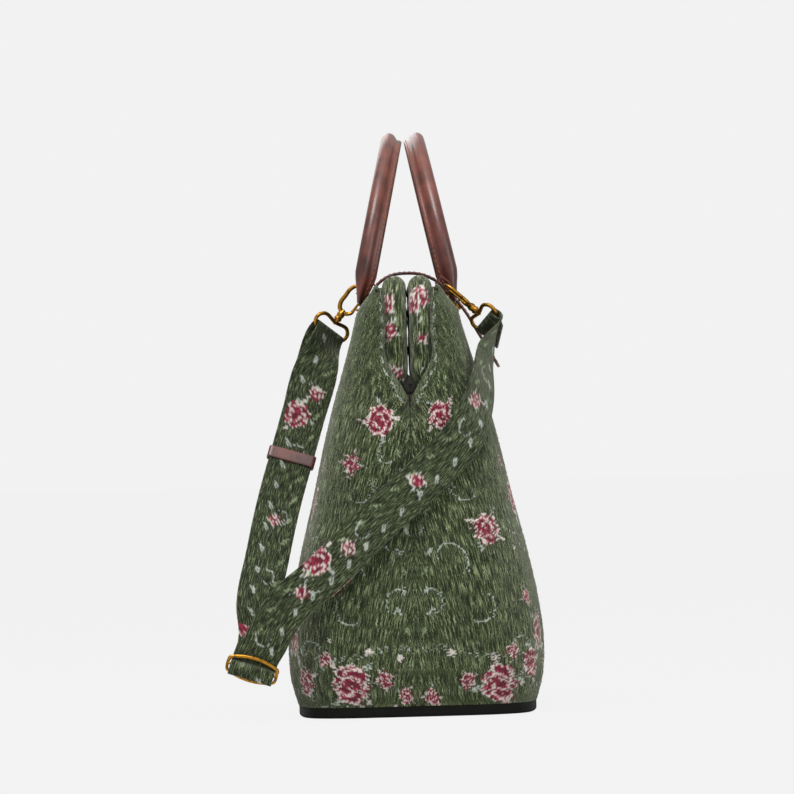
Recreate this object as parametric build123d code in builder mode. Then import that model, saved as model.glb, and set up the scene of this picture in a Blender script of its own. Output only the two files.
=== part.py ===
from build123d import *
import math
import os

os.makedirs("parts", exist_ok=True)

# Sizes in millimetres. X runs along the bag, -Y is its front, Z is up from the floor.
panel_t = 1.6
lining_t = 1.2
seam_gap = 0.3
base_h = 9.0
base_plate_t = 4.0
base_wall = 3.0
board_t = 3.0

# Body outline at each height: height, half depth, half length, corner rounding,
# half width of the mouth between the lips, and how far the end's crease or lip turns in
body_rows = [
    (9.3, 104.0, 232.0, 60.0, 0.4, 1.0),
    (32.0, 110.0, 238.0, 62.0, 0.4, 1.5),
    (58.0, 111.6, 240.0, 64.0, 0.4, 2.0),
    (101.0, 107.0, 239.0, 64.0, 0.4, 3.0),
    (135.0, 100.0, 236.0, 62.0, 0.4, 5.0),
    (187.0, 87.0, 230.0, 58.0, 0.4, 8.0),
    (239.0, 75.0, 224.0, 52.0, 0.4, 11.0),
    (262.0, 69.0, 220.0, 48.0, 0.4, 12.5),
    (273.0, 66.0, 218.0, 47.0, 2.5, 13.0),
    (284.0, 62.5, 216.0, 45.0, 9.5, 13.5),
    (296.0, 58.8, 214.0, 43.0, 17.0, 12.5),
    (308.0, 55.0, 212.0, 41.0, 22.4, 14.0),
    (335.0, 47.0, 208.0, 36.0, 22.4, 15.0),
    (352.0, 41.0, 204.0, 30.0, 22.4, 12.0),
    (365.0, 30.0, 200.0, 20.0, 22.4, 6.0),
    (371.5, 25.0, 198.0, 12.0, 22.4, 1.0),
]
lining_top = 262.0

# Mouth frame: two U-shaped bars in padded sleeves, hinged at both ends
hinge_z = 284.0
leg_x = 190.0
bar_y = 11.2
bar_z = 369.7
bar_r = 4.5
bar_corner = 30.0
bar_foot_z = 298.0
sleeve_r = 10.3
sleeve_foot_z = 292.0
eye_t = 2.6
eye_r = 7.0
rivet_r = 2.6
rivet_head_r = 5.0
rivet_head_t = 1.4

# Handles: a rolled grip with a stitched flange, leaning towards each other
handle_lean = 12.3
handle_foot = (41.0, 358.7)
handle_x = 120.0
foot_h = 26.0
roll_r = 6.6
roll_offset = 2.4
flange_reach = 9.0
flange_half = 1.6

# Shoulder strap and its brass fittings
strap_w = 38.0
strap_t = 1.8
slide_r = 1.3
slide_front_r = 1.7
slide_pitch = 6.0
wire_r = 1.7
eye_drop = 10.6
shank_r = 1.8
shank_h = 8.4
hook_reach = 33.0
claw_t = 3.6
gate_t = 1.8
ring_r = 7.8
hole_r = 5.6
gate_x = (ring_r + hole_r) / 2
gate_top = 28.8
pin_r = 0.6
pin_up = 16.2
loop_t = 1.5
loop_w = 4.5
keeper_t = 1.6
keeper_h = 11.0
closure_w = 28.0
closure_t = 2.4
snap_r = 8.0
snap_t = 1.8

along = Vector(1, 0, 0)


# Points round one half of the body at a given row, from the left end to the right end,
# moved in from the outer face by the inset
def half_outline(row, inset):
    height, depth, length, corner, mouth, dip = row
    run = depth - mouth
    quarter = [
        (length - dip, mouth),
        (length - 0.3 * dip, mouth + 0.13 * run),
        (length - 0.02 * corner, mouth + 0.38 * run),
        (length - 0.10 * corner, mouth + 0.64 * run),
        (length - 0.42 * corner, mouth + 0.87 * run),
        (length - corner, mouth + 0.965 * run),
        (0.45 * length, mouth + 0.995 * run),
        (0.0, depth),
    ]
    left = [(-x, y) for x, y in quarter]
    outer = left + [(x, y) for x, y in reversed(quarter[:-1])]
    points = []
    for i, (x, y) in enumerate(outer):
        before = outer[max(i - 1, 0)]
        after = outer[min(i + 1, len(outer) - 1)]
        dx, dy = after[0] - before[0], after[1] - before[1]
        if mouth == 0.0 and i in (0, len(outer) - 1):
            dx = 0.0
        size = math.hypot(dx, dy)
        points.append((x + inset * dy / size, y - inset * dx / size))
    return points


# A closed skin between two grids of points, the outer face's and the inner face's
def skin(outer, inner):
    faces = [
        Face.make_surface_from_array_of_points(grid, tol=0.05) for grid in (outer, inner)
    ]
    inner_edges = faces[1].edges()
    for edge in faces[0].edges():
        partner = min(inner_edges, key=lambda e: (e.center() - edge.center()).length)
        faces.append(Face.make_surface_from_curves(edge, partner))
    return Solid(Shell(faces))


# Grid of points on one side of the body, each row with its own inset
def side_grid(side, rows, insets):
    grid = []
    for row, inset in zip(rows, insets):
        grid.append([Vector(x, side * y, row[0]) for x, y in half_outline(row, inset)])
    return grid


# The outline of the whole body at the base row, as a closed face on the current plane
def base_outline(inset):
    front = half_outline(body_rows[0], inset)[1:-1]
    loop = [(x, -y) for x, y in front] + [(x, y) for x, y in reversed(front)]
    make_face(Edge.make_spline(loop, periodic=True))


# Chenille panels: each is one half of the body's shell, curled in at both ends
with BuildPart() as front_panel:
    outer = side_grid(-1, body_rows, [0.0] * len(body_rows))
    inner = side_grid(-1, body_rows, [panel_t] * len(body_rows))
    add(skin(outer, inner))

with BuildPart() as back_panel:
    mirror(front_panel.part, about=Plane.XZ)

# Lining: a soft tub that stands inside the panels up to the hinge
lining_out = panel_t + 1.8
lining_floor = base_plate_t + board_t + 2 * seam_gap
foot_rows = [(z,) + body_rows[0][1:4] + (0.0, 1.0) for z in (lining_floor, base_h + 1.0)]
wall_rows = [row[:4] + (0.0, row[5]) for row in body_rows[1:] if row[0] <= lining_top]
lining_rows = foot_rows + wall_rows
outer_insets = [base_wall + 1.0] * 2 + [lining_out] * len(wall_rows)
inner_insets = [inset + lining_t for inset in outer_insets]
with BuildPart() as lining:
    outer = side_grid(-1, lining_rows, outer_insets)
    inner = side_grid(-1, lining_rows, inner_insets)
    add(skin(outer, inner))
    mirror(about=Plane.XZ)
    with BuildSketch(Plane.XY.offset(lining_floor)):
        base_outline(base_wall + 1.4)
    extrude(amount=lining_t)

# Base: a leather tray turned up round the stiff board
with BuildPart() as base_panel:
    with BuildSketch():
        base_outline(0.0)
    extrude(amount=base_h)
    with BuildSketch(Plane.XY.offset(base_plate_t)):
        base_outline(base_wall)
    extrude(amount=base_h, mode=Mode.SUBTRACT)
    fillet(base_panel.edges().group_by(Axis.Z)[0], radius=2.5)

with BuildPart() as base_board:
    with BuildSketch(Plane.XY.offset(base_plate_t + 0.1)):
        base_outline(base_wall + seam_gap)
    extrude(amount=board_t)


# The U-shaped line that a frame bar follows, from one foot to the other
def frame_line(side, foot_z):
    corner_z = bar_z - bar_corner
    with BuildLine(Plane(origin=(0, side * bar_y, 0), x_dir=(1, 0, 0), z_dir=(0, -1, 0))) as path:
        Line((-leg_x, foot_z), (-leg_x, corner_z))
        RadiusArc((-leg_x, corner_z), (-leg_x + bar_corner, bar_z), bar_corner)
        Line((-leg_x + bar_corner, bar_z), (leg_x - bar_corner, bar_z))
        RadiusArc((leg_x - bar_corner, bar_z), (leg_x, corner_z), bar_corner)
        Line((leg_x, corner_z), (leg_x, foot_z))
    return path


# Frame bars: round bar with a flat eye at each foot, the front's outside the back's
bars = {}
for side, name in ((-1, "front_frame_bar"), (1, "back_frame_bar")):
    with BuildPart() as bar:
        path = frame_line(side, bar_foot_z)
        with BuildSketch(Plane(origin=(-leg_x, side * bar_y, bar_foot_z), z_dir=(0, 0, 1))):
            Circle(bar_r)
        sweep(path=path.wire())
        for end in (-1, 1):
            inner = leg_x + (0.2 if side < 0 else -0.2 - eye_t)
            with BuildSketch(Plane(origin=(end * inner, 0, 0), x_dir=(0, 1, 0), z_dir=(1, 0, 0))):
                with BuildLine():
                    Polyline(
                        (-eye_r, hinge_z),
                        (side * (bar_y - side * bar_r), bar_foot_z + 4),
                        (side * (bar_y + side * bar_r), bar_foot_z + 4),
                        (eye_r, hinge_z),
                        close=True,
                    )
                make_face()
                with Locations((0, hinge_z)):
                    Circle(eye_r)
                    Circle(rivet_r + 0.05, mode=Mode.SUBTRACT)
            extrude(amount=end * eye_t)
    bars[name] = bar.part

# Hinge rivets through the overlapped eyes
rivets = {}
for end, name in ((-1, "left_hinge_rivet"), (1, "right_hinge_rivet")):
    grip = eye_t + 0.2 + seam_gap
    with BuildPart() as rivet:
        with BuildSketch(Plane(origin=(end * (leg_x - grip), 0, hinge_z), z_dir=(end, 0, 0))):
            Circle(rivet_r)
        extrude(amount=2 * grip)
        with BuildSketch(Plane(origin=(end * (leg_x - grip), 0, hinge_z), z_dir=(-end, 0, 0))):
            Circle(rivet_head_r)
        extrude(amount=rivet_head_t)
        with BuildSketch(Plane(origin=(end * (leg_x + grip), 0, hinge_z), z_dir=(end, 0, 0))):
            Circle(rivet_head_r)
        extrude(amount=rivet_head_t)
    rivets[name] = rivet.part

# Frame sleeves: padded chenille tubes over the bars
sleeves = {}
for side, name in ((-1, "front_frame_sleeve"), (1, "back_frame_sleeve")):
    with BuildPart() as sleeve:
        path = frame_line(side, sleeve_foot_z)
        with BuildSketch(Plane(origin=(-leg_x, side * bar_y, sleeve_foot_z), z_dir=(0, 0, 1))):
            Circle(sleeve_r)
            Circle(bar_r + 0.3, mode=Mode.SUBTRACT)
        sweep(path=path.wire())
        for end in (-1, 1):
            with Locations((end * leg_x, side * bar_y / 2, sleeve_foot_z)):
                Box(2 * eye_t + 1.6, bar_y + 12.0, 22.0, mode=Mode.SUBTRACT)
    sleeves[name] = sleeve.part


# The handle's section: a roll with its flange, squashed by the two factors
def handle_section(wide, deep):
    joint_y = 4.0
    rim = [(flange_half, joint_y)]
    for angle in (40, 0, -45, -90, -135, -180, -220):
        a = math.radians(angle)
        rim.append((roll_r * math.cos(a), -roll_offset + roll_r * math.sin(a)))
    rim.append((-flange_half, joint_y))
    rim = [(x * wide, y * deep) for x, y in rim]
    tip_x, tip_y = flange_half * wide, flange_reach * deep
    corners = [rim[0], (tip_x, tip_y), (-tip_x, tip_y), rim[-1]]
    flange = [Edge.make_line(a, b) for a, b in zip(corners, corners[1:])]
    make_face([Edge.make_spline(rim)] + flange)


# Handles: the arch is swept, and each foot is pressed flat towards its end
handles = {}
lean = math.radians(handle_lean)
for side, name in ((-1, "front_handle"), (1, "back_handle")):
    rise = Vector(0, -side * math.sin(lean), math.cos(lean))
    inward = Vector(0, -side * math.cos(lean), -math.sin(lean))
    foot = Vector(0, side * handle_foot[0], handle_foot[1])
    with BuildPart() as handle:
        start = foot + along * -handle_x + rise * foot_h
        crown = foot + rise * (foot_h + handle_x)
        finish = foot + along * handle_x + rise * foot_h
        with BuildLine() as path:
            ThreePointArc(start, crown, finish)
        with BuildSketch(Plane(origin=start, x_dir=rise.cross(inward) * -1, z_dir=rise)):
            handle_section(1.0, 1.0)
        sweep(path=path.wire())
        for end in (-1, 1):
            for h, wide, deep in ((foot_h, 1.0, 1.0), (13.0, 1.08, 0.66), (-1.5, 1.15, 0.27)):
                at = foot + along * (end * handle_x) + rise * h
                with BuildSketch(Plane(origin=at, x_dir=rise.cross(inward) * -1, z_dir=rise)):
                    handle_section(wide, deep)
            loft()
    handles[name] = handle.part



# A smooth run through a list of stations, with each slope weighted by its distances
def smooth_run(keys, steps):
    spans = [max((b[0] - a[0]).length, 0.01) for a, b in zip(keys, keys[1:])]
    slopes = [
        tuple((q - p) * (1 / h) for p, q in zip(a, b)) for a, b, h in zip(keys, keys[1:], spans)
    ]
    tangents = [slopes[0]]
    for i in range(1, len(spans)):
        share = spans[i - 1] / (spans[i - 1] + spans[i])
        tangents.append(tuple(p * (1 - share) + q * share for p, q in zip(slopes[i - 1], slopes[i])))
    tangents.append(slopes[-1])
    run = []
    for i, h in enumerate(spans):
        for k in range(steps):
            t = k / steps
            rise = t * t * (3 - 2 * t)
            leave = t * (1 - t) ** 2 * h
            arrive = t * t * (t - 1) * h
            ends = zip(keys[i], keys[i + 1], tangents[i], tangents[i + 1])
            run.append(tuple(p * (1 - rise) + q * rise + m * leave + n * arrive for p, q, m, n in ends))
    run.append(keys[-1])
    return run


# A flat band through stations, each a centre and a vector across the band
def band(stations, width, thickness):
    with BuildPart() as strip:
        for i, (centre, across) in enumerate(stations):
            ahead = stations[min(i + 1, len(stations) - 1)][0]
            behind = stations[max(i - 1, 0)][0]
            facing = (ahead - behind).cross(across).normalized()
            with BuildSketch(Plane(origin=centre, x_dir=across, z_dir=across.cross(facing))):
                Rectangle(width * across.length, thickness)
        loft(ruled=True)
    return strip.part


# Closure strap: stitched at the back shoulder, over both sleeves, free at its tapered tip
closure_path = [(30.8, 366.8), (25.5, 375.0), (14.0, 382.4), (0.0, 384.2), (-14.0, 382.6)]
closure_path += [(-26.0, 377.0), (-38.0, 366.0), (-50.0, 351.0), (-63.0, 329.0), (-80.0, 299.0)]
closure_keys = [(Vector(0, y, z), along) for y, z in closure_path]
tip_from, tip_to = closure_keys[-2][0], closure_keys[-1][0]
closure_keys[-1] = (tip_from * 0.35 + tip_to * 0.65, along * 0.92)
closure_run = smooth_run(closure_keys, 3) + [(tip_to, along * 0.4)]
with BuildPart() as closure_strap:
    add(band(closure_run, closure_w, closure_t))

# Snap under the closure strap: the stud on the strap, the socket on the front panel
snap_at = Vector(0, -44.0, 358.7)
snap_in = Vector(0, 0.78, -0.626).normalized()
with BuildPart() as snap_stud:
    with BuildSketch(Plane(origin=snap_at + snap_in * (closure_t / 2 + 0.1), z_dir=snap_in)):
        Circle(snap_r)
    extrude(amount=snap_t)
    with BuildSketch(Plane(origin=snap_at + snap_in * (closure_t / 2 + 0.1 + snap_t), z_dir=snap_in)):
        Circle(snap_r * 0.4)
    extrude(amount=1.0)
with BuildPart() as snap_socket:
    face_at = snap_at + snap_in * (closure_t / 2 + 0.1 + snap_t + 0.3)
    with BuildSketch(Plane(origin=face_at, z_dir=snap_in)):
        Circle(snap_r)
        Circle(snap_r * 0.4 + 0.3, mode=Mode.SUBTRACT)
    extrude(amount=snap_t - 0.8)
    with BuildSketch(Plane(origin=face_at + snap_in * (snap_t - 0.8), z_dir=snap_in)):
        Circle(snap_r + 1)
    extrude(amount=0.8)


# One hook side: where its loop is, the line from the eye to the loop, and across the eye
back_up = Vector(0, -0.62, 0.785).normalized()
front_up = Vector(0, 0.75, 0.66).normalized()
back_loop = Vector(-100.0, 42.8, 367.6)
front_loop = Vector(-146.0, -37.2, 367.75)
back_eye = back_loop - back_up * hook_reach
front_eye = front_loop - front_up * hook_reach
back_claw_side = Vector(0, 0.785, 0.62).normalized()
back_bar = (back_claw_side - along).normalized()
front_bar = (Vector(0, -0.66, 0.75) * 0.5 - along * 0.866).normalized()
front_claw_side = (Vector(0, -0.66, 0.75).normalized() * 0.17 - along * 0.985).normalized()


# Swivel eye: a wire frame round the strap with a shank up its middle
def eye_frame(centre, up, bar):
    flat = Plane(origin=centre, x_dir=bar, z_dir=bar.cross(up))
    half = strap_w / 2 + 0.7 + wire_r
    with BuildPart() as eye:
        for end in (-1, 1):
            with BuildLine(flat) as path:
                FilletPolyline(
                    (0, 0), (end * half, 0), (end * half, -eye_drop), (0, -eye_drop), radius=2.6
                )
            with BuildSketch(Plane(origin=centre, z_dir=bar * end)):
                Circle(wire_r)
            sweep(path=path.wire())
        with BuildSketch(Plane(origin=centre, z_dir=up)):
            Circle(shank_r)
        extrude(amount=shank_h)
    return eye.part


# Lobster claw: a collar over the shank and a ring with a gap for the gate
def claw_body(centre, up, side):
    flat = Plane(origin=centre, x_dir=side, z_dir=side.cross(up))
    with BuildPart() as claw:
        with BuildSketch(flat):
            with Locations((0, 23.9)):
                SlotCenterToCenter(14.0, 2 * ring_r, rotation=90)
            with Locations((0, 23.9)):
                SlotCenterToCenter(14.0, 2 * hole_r, rotation=90, mode=Mode.SUBTRACT)
            with Locations((0, 6.6)):
                Rectangle(6.8, 8.8)
        extrude(amount=claw_t / 2, both=True)
        with BuildSketch(flat):
            with Locations((-gate_x, 22.5)):
                Rectangle(5.0, 16.0)
        extrude(amount=gate_t / 2 + 0.15, both=True, mode=Mode.SUBTRACT)
        with BuildSketch(flat):
            with Locations((-gate_x, 24.5)):
                Rectangle(5.0, 12.0)
        extrude(amount=claw_t, both=True, mode=Mode.SUBTRACT)
        with BuildSketch(Plane(origin=centre + up * 2.2, z_dir=up)):
            Circle(3.6)
        extrude(amount=7.5)
        with BuildSketch(Plane(origin=centre + up * 2.1, z_dir=up)):
            Circle(shank_r + 0.05)
        extrude(amount=shank_h - 1.6, mode=Mode.SUBTRACT)
        with BuildSketch(Plane(origin=flat.from_local_coords((-gate_x, pin_up, 0)), z_dir=flat.z_dir)):
            Circle(pin_r)
        extrude(amount=claw_t, both=True, mode=Mode.SUBTRACT)
    return claw.part


# Gate: a slim sprung bar that closes the claw, turning on its pin
def gate_body(centre, up, side):
    flat = Plane(origin=centre, x_dir=side, z_dir=side.cross(up))
    with BuildPart() as gate:
        with BuildSketch(flat):
            with Locations((-gate_x, (pin_up + gate_top) / 2)):
                SlotCenterToCenter(gate_top - pin_up, 2.2, rotation=90)
            with Locations((-gate_x, pin_up)):
                Circle(pin_r + 0.05, mode=Mode.SUBTRACT)
        extrude(amount=gate_t / 2, both=True)
    return gate.part


# Gate pin: across the claw's two cheeks
def pin_body(centre, up, side):
    flat = Plane(origin=centre, x_dir=side, z_dir=side.cross(up))
    with BuildPart() as pin:
        with BuildSketch(Plane(origin=flat.from_local_coords((-gate_x, pin_up, 0)), z_dir=flat.z_dir)):
            Circle(pin_r)
        extrude(amount=claw_t / 2, both=True)
    return pin.part


with BuildPart() as front_hook_eye:
    add(eye_frame(front_eye, front_up, front_bar))
with BuildPart() as back_hook_eye:
    add(eye_frame(back_eye, back_up, back_bar))
with BuildPart() as front_hook_claw:
    add(claw_body(front_eye, front_up, front_claw_side))
with BuildPart() as back_hook_claw:
    add(claw_body(back_eye, back_up, back_claw_side))
with BuildPart() as front_hook_gate:
    add(gate_body(front_eye, front_up, front_claw_side))
with BuildPart() as back_hook_gate:
    add(gate_body(back_eye, back_up, back_claw_side))
with BuildPart() as front_hook_pin:
    add(pin_body(front_eye, front_up, front_claw_side))
with BuildPart() as back_hook_pin:
    add(pin_body(back_eye, back_up, back_claw_side))


# Leather hook loop: a small arch standing on a foot, drawn across the given direction
def hook_loop(strand, rise, across, half, height):
    flat = Plane(origin=strand, x_dir=across, z_dir=across.cross(rise))
    with BuildPart() as loop:
        with BuildSketch(flat):
            with Locations((0, -half)):
                Circle(half + loop_t / 2)
                Circle(half - loop_t / 2, mode=Mode.SUBTRACT)
            with Locations((0, -3 * half)):
                Rectangle(4 * half, 4 * half, mode=Mode.SUBTRACT)
            for end in (-1, 1):
                with Locations((end * half, -(height + half) / 2)):
                    Rectangle(loop_t, height - half)
            with Locations((0, -height - loop_t / 2)):
                Rectangle(2 * half + loop_t, loop_t)
        extrude(amount=loop_w / 2, both=True)
    return loop.part


shoulder_up = Vector(0, 0.765, 0.647).normalized()
front_set = Vector(0, -0.66, 0.75).normalized()
with BuildPart() as front_hook_loops:
    add(hook_loop(front_loop, front_up * -1, front_set, 4.1, 11.5))
    far = Vector(-back_loop.X, -back_loop.Y, back_loop.Z)
    add(hook_loop(far, Vector(0, -shoulder_up.Y, shoulder_up.Z), along, 7.0, 8.3))
with BuildPart() as back_hook_loops:
    add(hook_loop(back_loop, shoulder_up, along, 7.0, 8.3))
    far = Vector(-front_loop.X, -front_loop.Y, front_loop.Z)
    back_set = Vector(0, -front_set.Y, front_set.Z)
    add(hook_loop(far, Vector(0, front_up.Y, -front_up.Z), back_set, 4.1, 11.5))

# Slider: a flat brass frame with three bars, square to the bag's length
slide_bar = Vector(0, 0.949, 0.315).normalized()
slide_down = Vector(0, 0.315, -0.949).normalized()
slide_at = Vector(-246.0, 139.5, 50.4)
slide_half = strap_w / 2 + 2.2
with BuildPart() as strap_slider:
    for drop, radius in ((0, slide_front_r), (slide_pitch, slide_r), (2 * slide_pitch, slide_r)):
        start = slide_at + slide_down * drop - slide_bar * slide_half
        with BuildSketch(Plane(origin=start, z_dir=slide_bar)):
            Circle(radius)
        extrude(amount=2 * slide_half)
    for end in (-1, 1):
        start = slide_at + slide_bar * (end * slide_half)
        with BuildSketch(Plane(origin=start, z_dir=slide_down)):
            Circle(slide_r)
        extrude(amount=2 * slide_pitch)
        for drop, radius in ((0, slide_front_r), (2 * slide_pitch, slide_r)):
            with Locations(start + slide_down * drop):
                Sphere(radius)

# Shoulder strap: from the slider up round the back hook's eye, down, round the slider's
# lowest bar, across the bag's end and round the front hook's eye
left_facing = Vector(0.901, 0.124, -0.417)
left_across = Vector(0, 0.958, 0.285)
left_line = [(-115, 80.5, 302), (-133, 92.8, 261.5), (-152, 104, 224.7), (-171, 114.7, 189)]
left_line += [(-199, 126.5, 140), (-226, 135.5, 96)]
slide_across = slide_bar * 1.025
layer = strap_t / 2 + 0.25


def layer_keys(sign):
    return [(Vector(*p) + left_facing * (sign * layer), left_across) for p in left_line]


def turn(centre, first, second, radius, across, angles):
    return [
        (
            centre + first * (radius * math.cos(math.radians(a))) + second * (radius * math.sin(math.radians(a))),
            across,
        )
        for a in angles
    ]


wrap_r = wire_r + 0.5 + strap_t / 2
back_low = back_eye - back_up * eye_drop
front_low = front_eye - front_up * eye_drop
front_out = (front_bar.cross(front_up)).normalized() * -1
fold_at = slide_at + slide_down * (2 * slide_pitch)
mid_at = slide_at + slide_down * slide_pitch
up_layer = [
    (mid_at + along * (slide_r + 0.2 + strap_t / 2) - slide_down * 0.5, slide_across),
    (slide_at + along * (slide_front_r + 0.6 + 1.5 * strap_t), slide_across),
    (slide_at + along * 6.5 - slide_down * 14, left_across),
]
up_layer += list(reversed(layer_keys(1)))
down_layer = layer_keys(-1)
down_layer += [
    (slide_at + along * 8.9 - slide_down * 16, left_across),
    (slide_at + along * (slide_front_r + 1.0 + 2.5 * strap_t), slide_across),
    (mid_at + along * 4.6, slide_across),
]
bottom = turn(fold_at, along, slide_down, slide_r + 0.2 + strap_t / 2, slide_across, range(0, 181, 30))
crossing = [(0.0, -2.4), (1.2, -2.2), (2.3, -1.2), (3.0, 0.2), (3.7, 1.5), (4.8, 2.6), (6.0, 2.8)]
weave = [(mid_at - slide_down * h + along * x, slide_across) for h, x in crossing]
across_end = [
    (Vector(-245.0, 131.0, 64.5), Vector(0, 0.90, 0.42)),
    (Vector(-247.0, 114.8, 92.0), Vector(0, 0.79, 0.61)),
    (Vector(-246.0, 73.2, 128.3), Vector(0, 0.67, 0.74)),
    (Vector(-243.0, 29.2, 170.5), Vector(0, 0.70, 0.71)),
    (Vector(-236.0, -14.7, 208.4), Vector(-0.08, 0.69, 0.72)),
    (Vector(-229.0, -45.5, 240.0), Vector(-0.27, 0.72, 0.64)),
    (Vector(-209.0, -61.0, 273.0), Vector(-0.577, 0.52, 0.635)),
    (Vector(-181.0, -66.5, 306.0), Vector(-0.659, 0.31, 0.679)),
]
back_in = back_bar.cross(back_up).normalized()
over_back = turn(back_low, back_in, back_up, wrap_r, back_bar, range(0, 181, 30))
over_front = turn(front_low, front_out, front_up, wrap_r, front_bar, range(0, 181, 30))
tail = [
    (front_low - front_out * (wrap_r - 0.4) - front_up * 6 , front_bar),
    (front_low - front_out * 1.6 - front_up * 14 + Vector(-6, 0, -4), (front_bar * 2 + across_end[-1][1]).normalized()),
]
strap_keys = up_layer + over_back + down_layer + bottom + weave + across_end + over_front + tail
with BuildPart() as shoulder_strap:
    add(band(smooth_run(strap_keys, 3), strap_w, strap_t))

# Keeper: a leather band round both layers of the strap
keeper_at = Vector(*left_line[2])
keeper_up = (Vector(*left_line[1]) - Vector(*left_line[3])).normalized()
with BuildPart() as strap_keeper:
    flat = Plane(origin=keeper_at - keeper_up * (keeper_h / 2), x_dir=left_across, z_dir=keeper_up)
    with BuildSketch(flat):
        RectangleRounded(strap_w + 2 * (0.5 + keeper_t), 4 * layer + 2 * (0.3 + keeper_t), 1.5)
        Rectangle(strap_w + 1.0, 4 * layer + 0.6, mode=Mode.SUBTRACT)
    extrude(amount=keeper_h)

panels = {"front_panel": front_panel.part, "back_panel": back_panel.part}
for name, part in {**panels, **bars, **rivets, **sleeves, **handles}.items():
    part.label = name
    export_step(part, f"parts/{name}.step")

others = {
    "lining": lining,
    "base_panel": base_panel,
    "base_board": base_board,
    "closure_strap": closure_strap,
    "snap_stud": snap_stud,
    "snap_socket": snap_socket,
    "front_hook_eye": front_hook_eye,
    "back_hook_eye": back_hook_eye,
    "front_hook_claw": front_hook_claw,
    "back_hook_claw": back_hook_claw,
    "front_hook_gate": front_hook_gate,
    "back_hook_gate": back_hook_gate,
    "front_hook_pin": front_hook_pin,
    "back_hook_pin": back_hook_pin,
    "front_hook_loops": front_hook_loops,
    "back_hook_loops": back_hook_loops,
    "strap_slider": strap_slider,
    "shoulder_strap": shoulder_strap,
    "strap_keeper": strap_keeper,
}
for name, builder in others.items():
    builder.part.label = name
    export_step(builder.part, f"parts/{name}.step")
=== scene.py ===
"""Looks of a chenille carpet bag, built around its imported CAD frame."""

import logging
import math
from collections.abc import Sequence
from dataclasses import dataclass, field
from enum import Enum

import bpy
import numpy as np
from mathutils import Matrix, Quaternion, Vector


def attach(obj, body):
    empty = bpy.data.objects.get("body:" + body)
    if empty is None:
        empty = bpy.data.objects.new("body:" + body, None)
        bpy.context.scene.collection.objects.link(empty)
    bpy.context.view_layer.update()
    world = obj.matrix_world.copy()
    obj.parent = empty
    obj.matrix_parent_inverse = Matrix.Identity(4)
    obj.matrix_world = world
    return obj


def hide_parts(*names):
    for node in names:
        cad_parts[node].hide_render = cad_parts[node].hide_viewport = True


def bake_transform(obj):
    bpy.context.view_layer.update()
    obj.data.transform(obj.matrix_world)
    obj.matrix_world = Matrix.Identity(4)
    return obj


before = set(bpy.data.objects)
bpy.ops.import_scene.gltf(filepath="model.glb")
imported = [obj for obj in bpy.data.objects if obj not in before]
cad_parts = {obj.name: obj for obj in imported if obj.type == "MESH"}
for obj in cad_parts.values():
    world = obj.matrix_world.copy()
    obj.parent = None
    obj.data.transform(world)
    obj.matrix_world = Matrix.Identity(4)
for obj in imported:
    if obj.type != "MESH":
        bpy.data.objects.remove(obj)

Material = bpy.types.Material
Socket = bpy.types.NodeSocket
Piece = bpy.types.Object
Pair = tuple[float, float]

MM = 0.001
PHOTO_PIXELS = 794
MM_PER_PIXEL = 0.862
PHOTO_ROLL = 0.027
SENSOR_MM = 36.0
SEED = 7

logging.basicConfig(level=logging.INFO, format="%(name)s: %(message)s")
log = logging.getLogger("bag")


class Side(Enum):
    """Front and back of the bag, valued by the sign of their Y."""

    FRONT = -1
    BACK = 1

    @property
    def word(self) -> str:
        """Name that the CAD nodes of this side start with."""
        return self.name.lower()

    @property
    def frame_body(self) -> str:
        """CAD body of this side's mouth frame."""
        return f"{self.word}_frame"


def linear(code: str) -> tuple[float, float, float, float]:
    """Turns an sRGB hex colour into the linear colour that the shaders take.

    Args:
        code: six hex digits, such as "4d5f3c".

    Returns:
        Red, green, blue and an alpha of 1.
    """
    channels = [int(code[i : i + 2], 16) / 255 for i in (0, 2, 4)]
    lin = [c / 12.92 if c <= 0.04045 else ((c + 0.055) / 1.055) ** 2.4 for c in channels]
    return (lin[0], lin[1], lin[2], 1.0)


def unit(*v: float) -> Vector:
    """Returns the vector of length 1 along the given one."""
    return Vector(v).normalized()


def feed(owner: bpy.types.ID, node: bpy.types.Node, inputs: dict) -> None:
    """Sets the inputs of a node.

    Args:
        owner: the material or world that holds the node.
        node: the node.
        inputs: socket name or number to a value, or to the socket that feeds it.
    """
    for name, value in inputs.items():
        if isinstance(value, Socket):
            owner.node_tree.links.new(value, node.inputs[name])
        else:
            node.inputs[name].default_value = value


def add_node(owner: bpy.types.ID, kind: str, inputs: dict | None = None, **settings) -> bpy.types.Node:
    """Adds one shader node with its settings, values and links.

    Args:
        owner: the material or world that gets the node.
        kind: the node's type without its ShaderNode prefix.
        inputs: socket name or number to a value, or to the socket that feeds it.
        **settings: properties set on the node itself.

    Returns:
        The new node.
    """
    made = owner.node_tree.nodes.new("ShaderNode" + kind)
    for name, value in settings.items():
        setattr(made, name, value)
    feed(owner, made, inputs or {})
    return made


def blank_material(name: str) -> tuple[Material, bpy.types.Node]:
    """Makes a material that holds only its surface shader.

    Args:
        name: the finish's common name and how it is made.

    Returns:
        The material and its surface shader.
    """
    material = bpy.data.materials.new(name)
    material.use_nodes = True
    material.node_tree.nodes.clear()
    shader = add_node(material, "BsdfPrincipled")
    add_node(material, "OutputMaterial", {"Surface": shader.outputs[0]})
    return material, shader


def blended(material: Material, factor, first, second, mode: str = "MIX") -> Socket:
    """Mixes two colours and returns the result's socket.

    Args:
        material: the material that gets the node.
        factor: share of the second colour, a number or a socket.
        first: colour or socket.
        second: colour or socket.
        mode: the mix node's blend type.

    Returns:
        The mixed colour's socket.
    """
    mix = add_node(material, "Mix", {0: factor, 6: first, 7: second}, data_type="RGBA", blend_type=mode)
    return mix.outputs[2]


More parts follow.
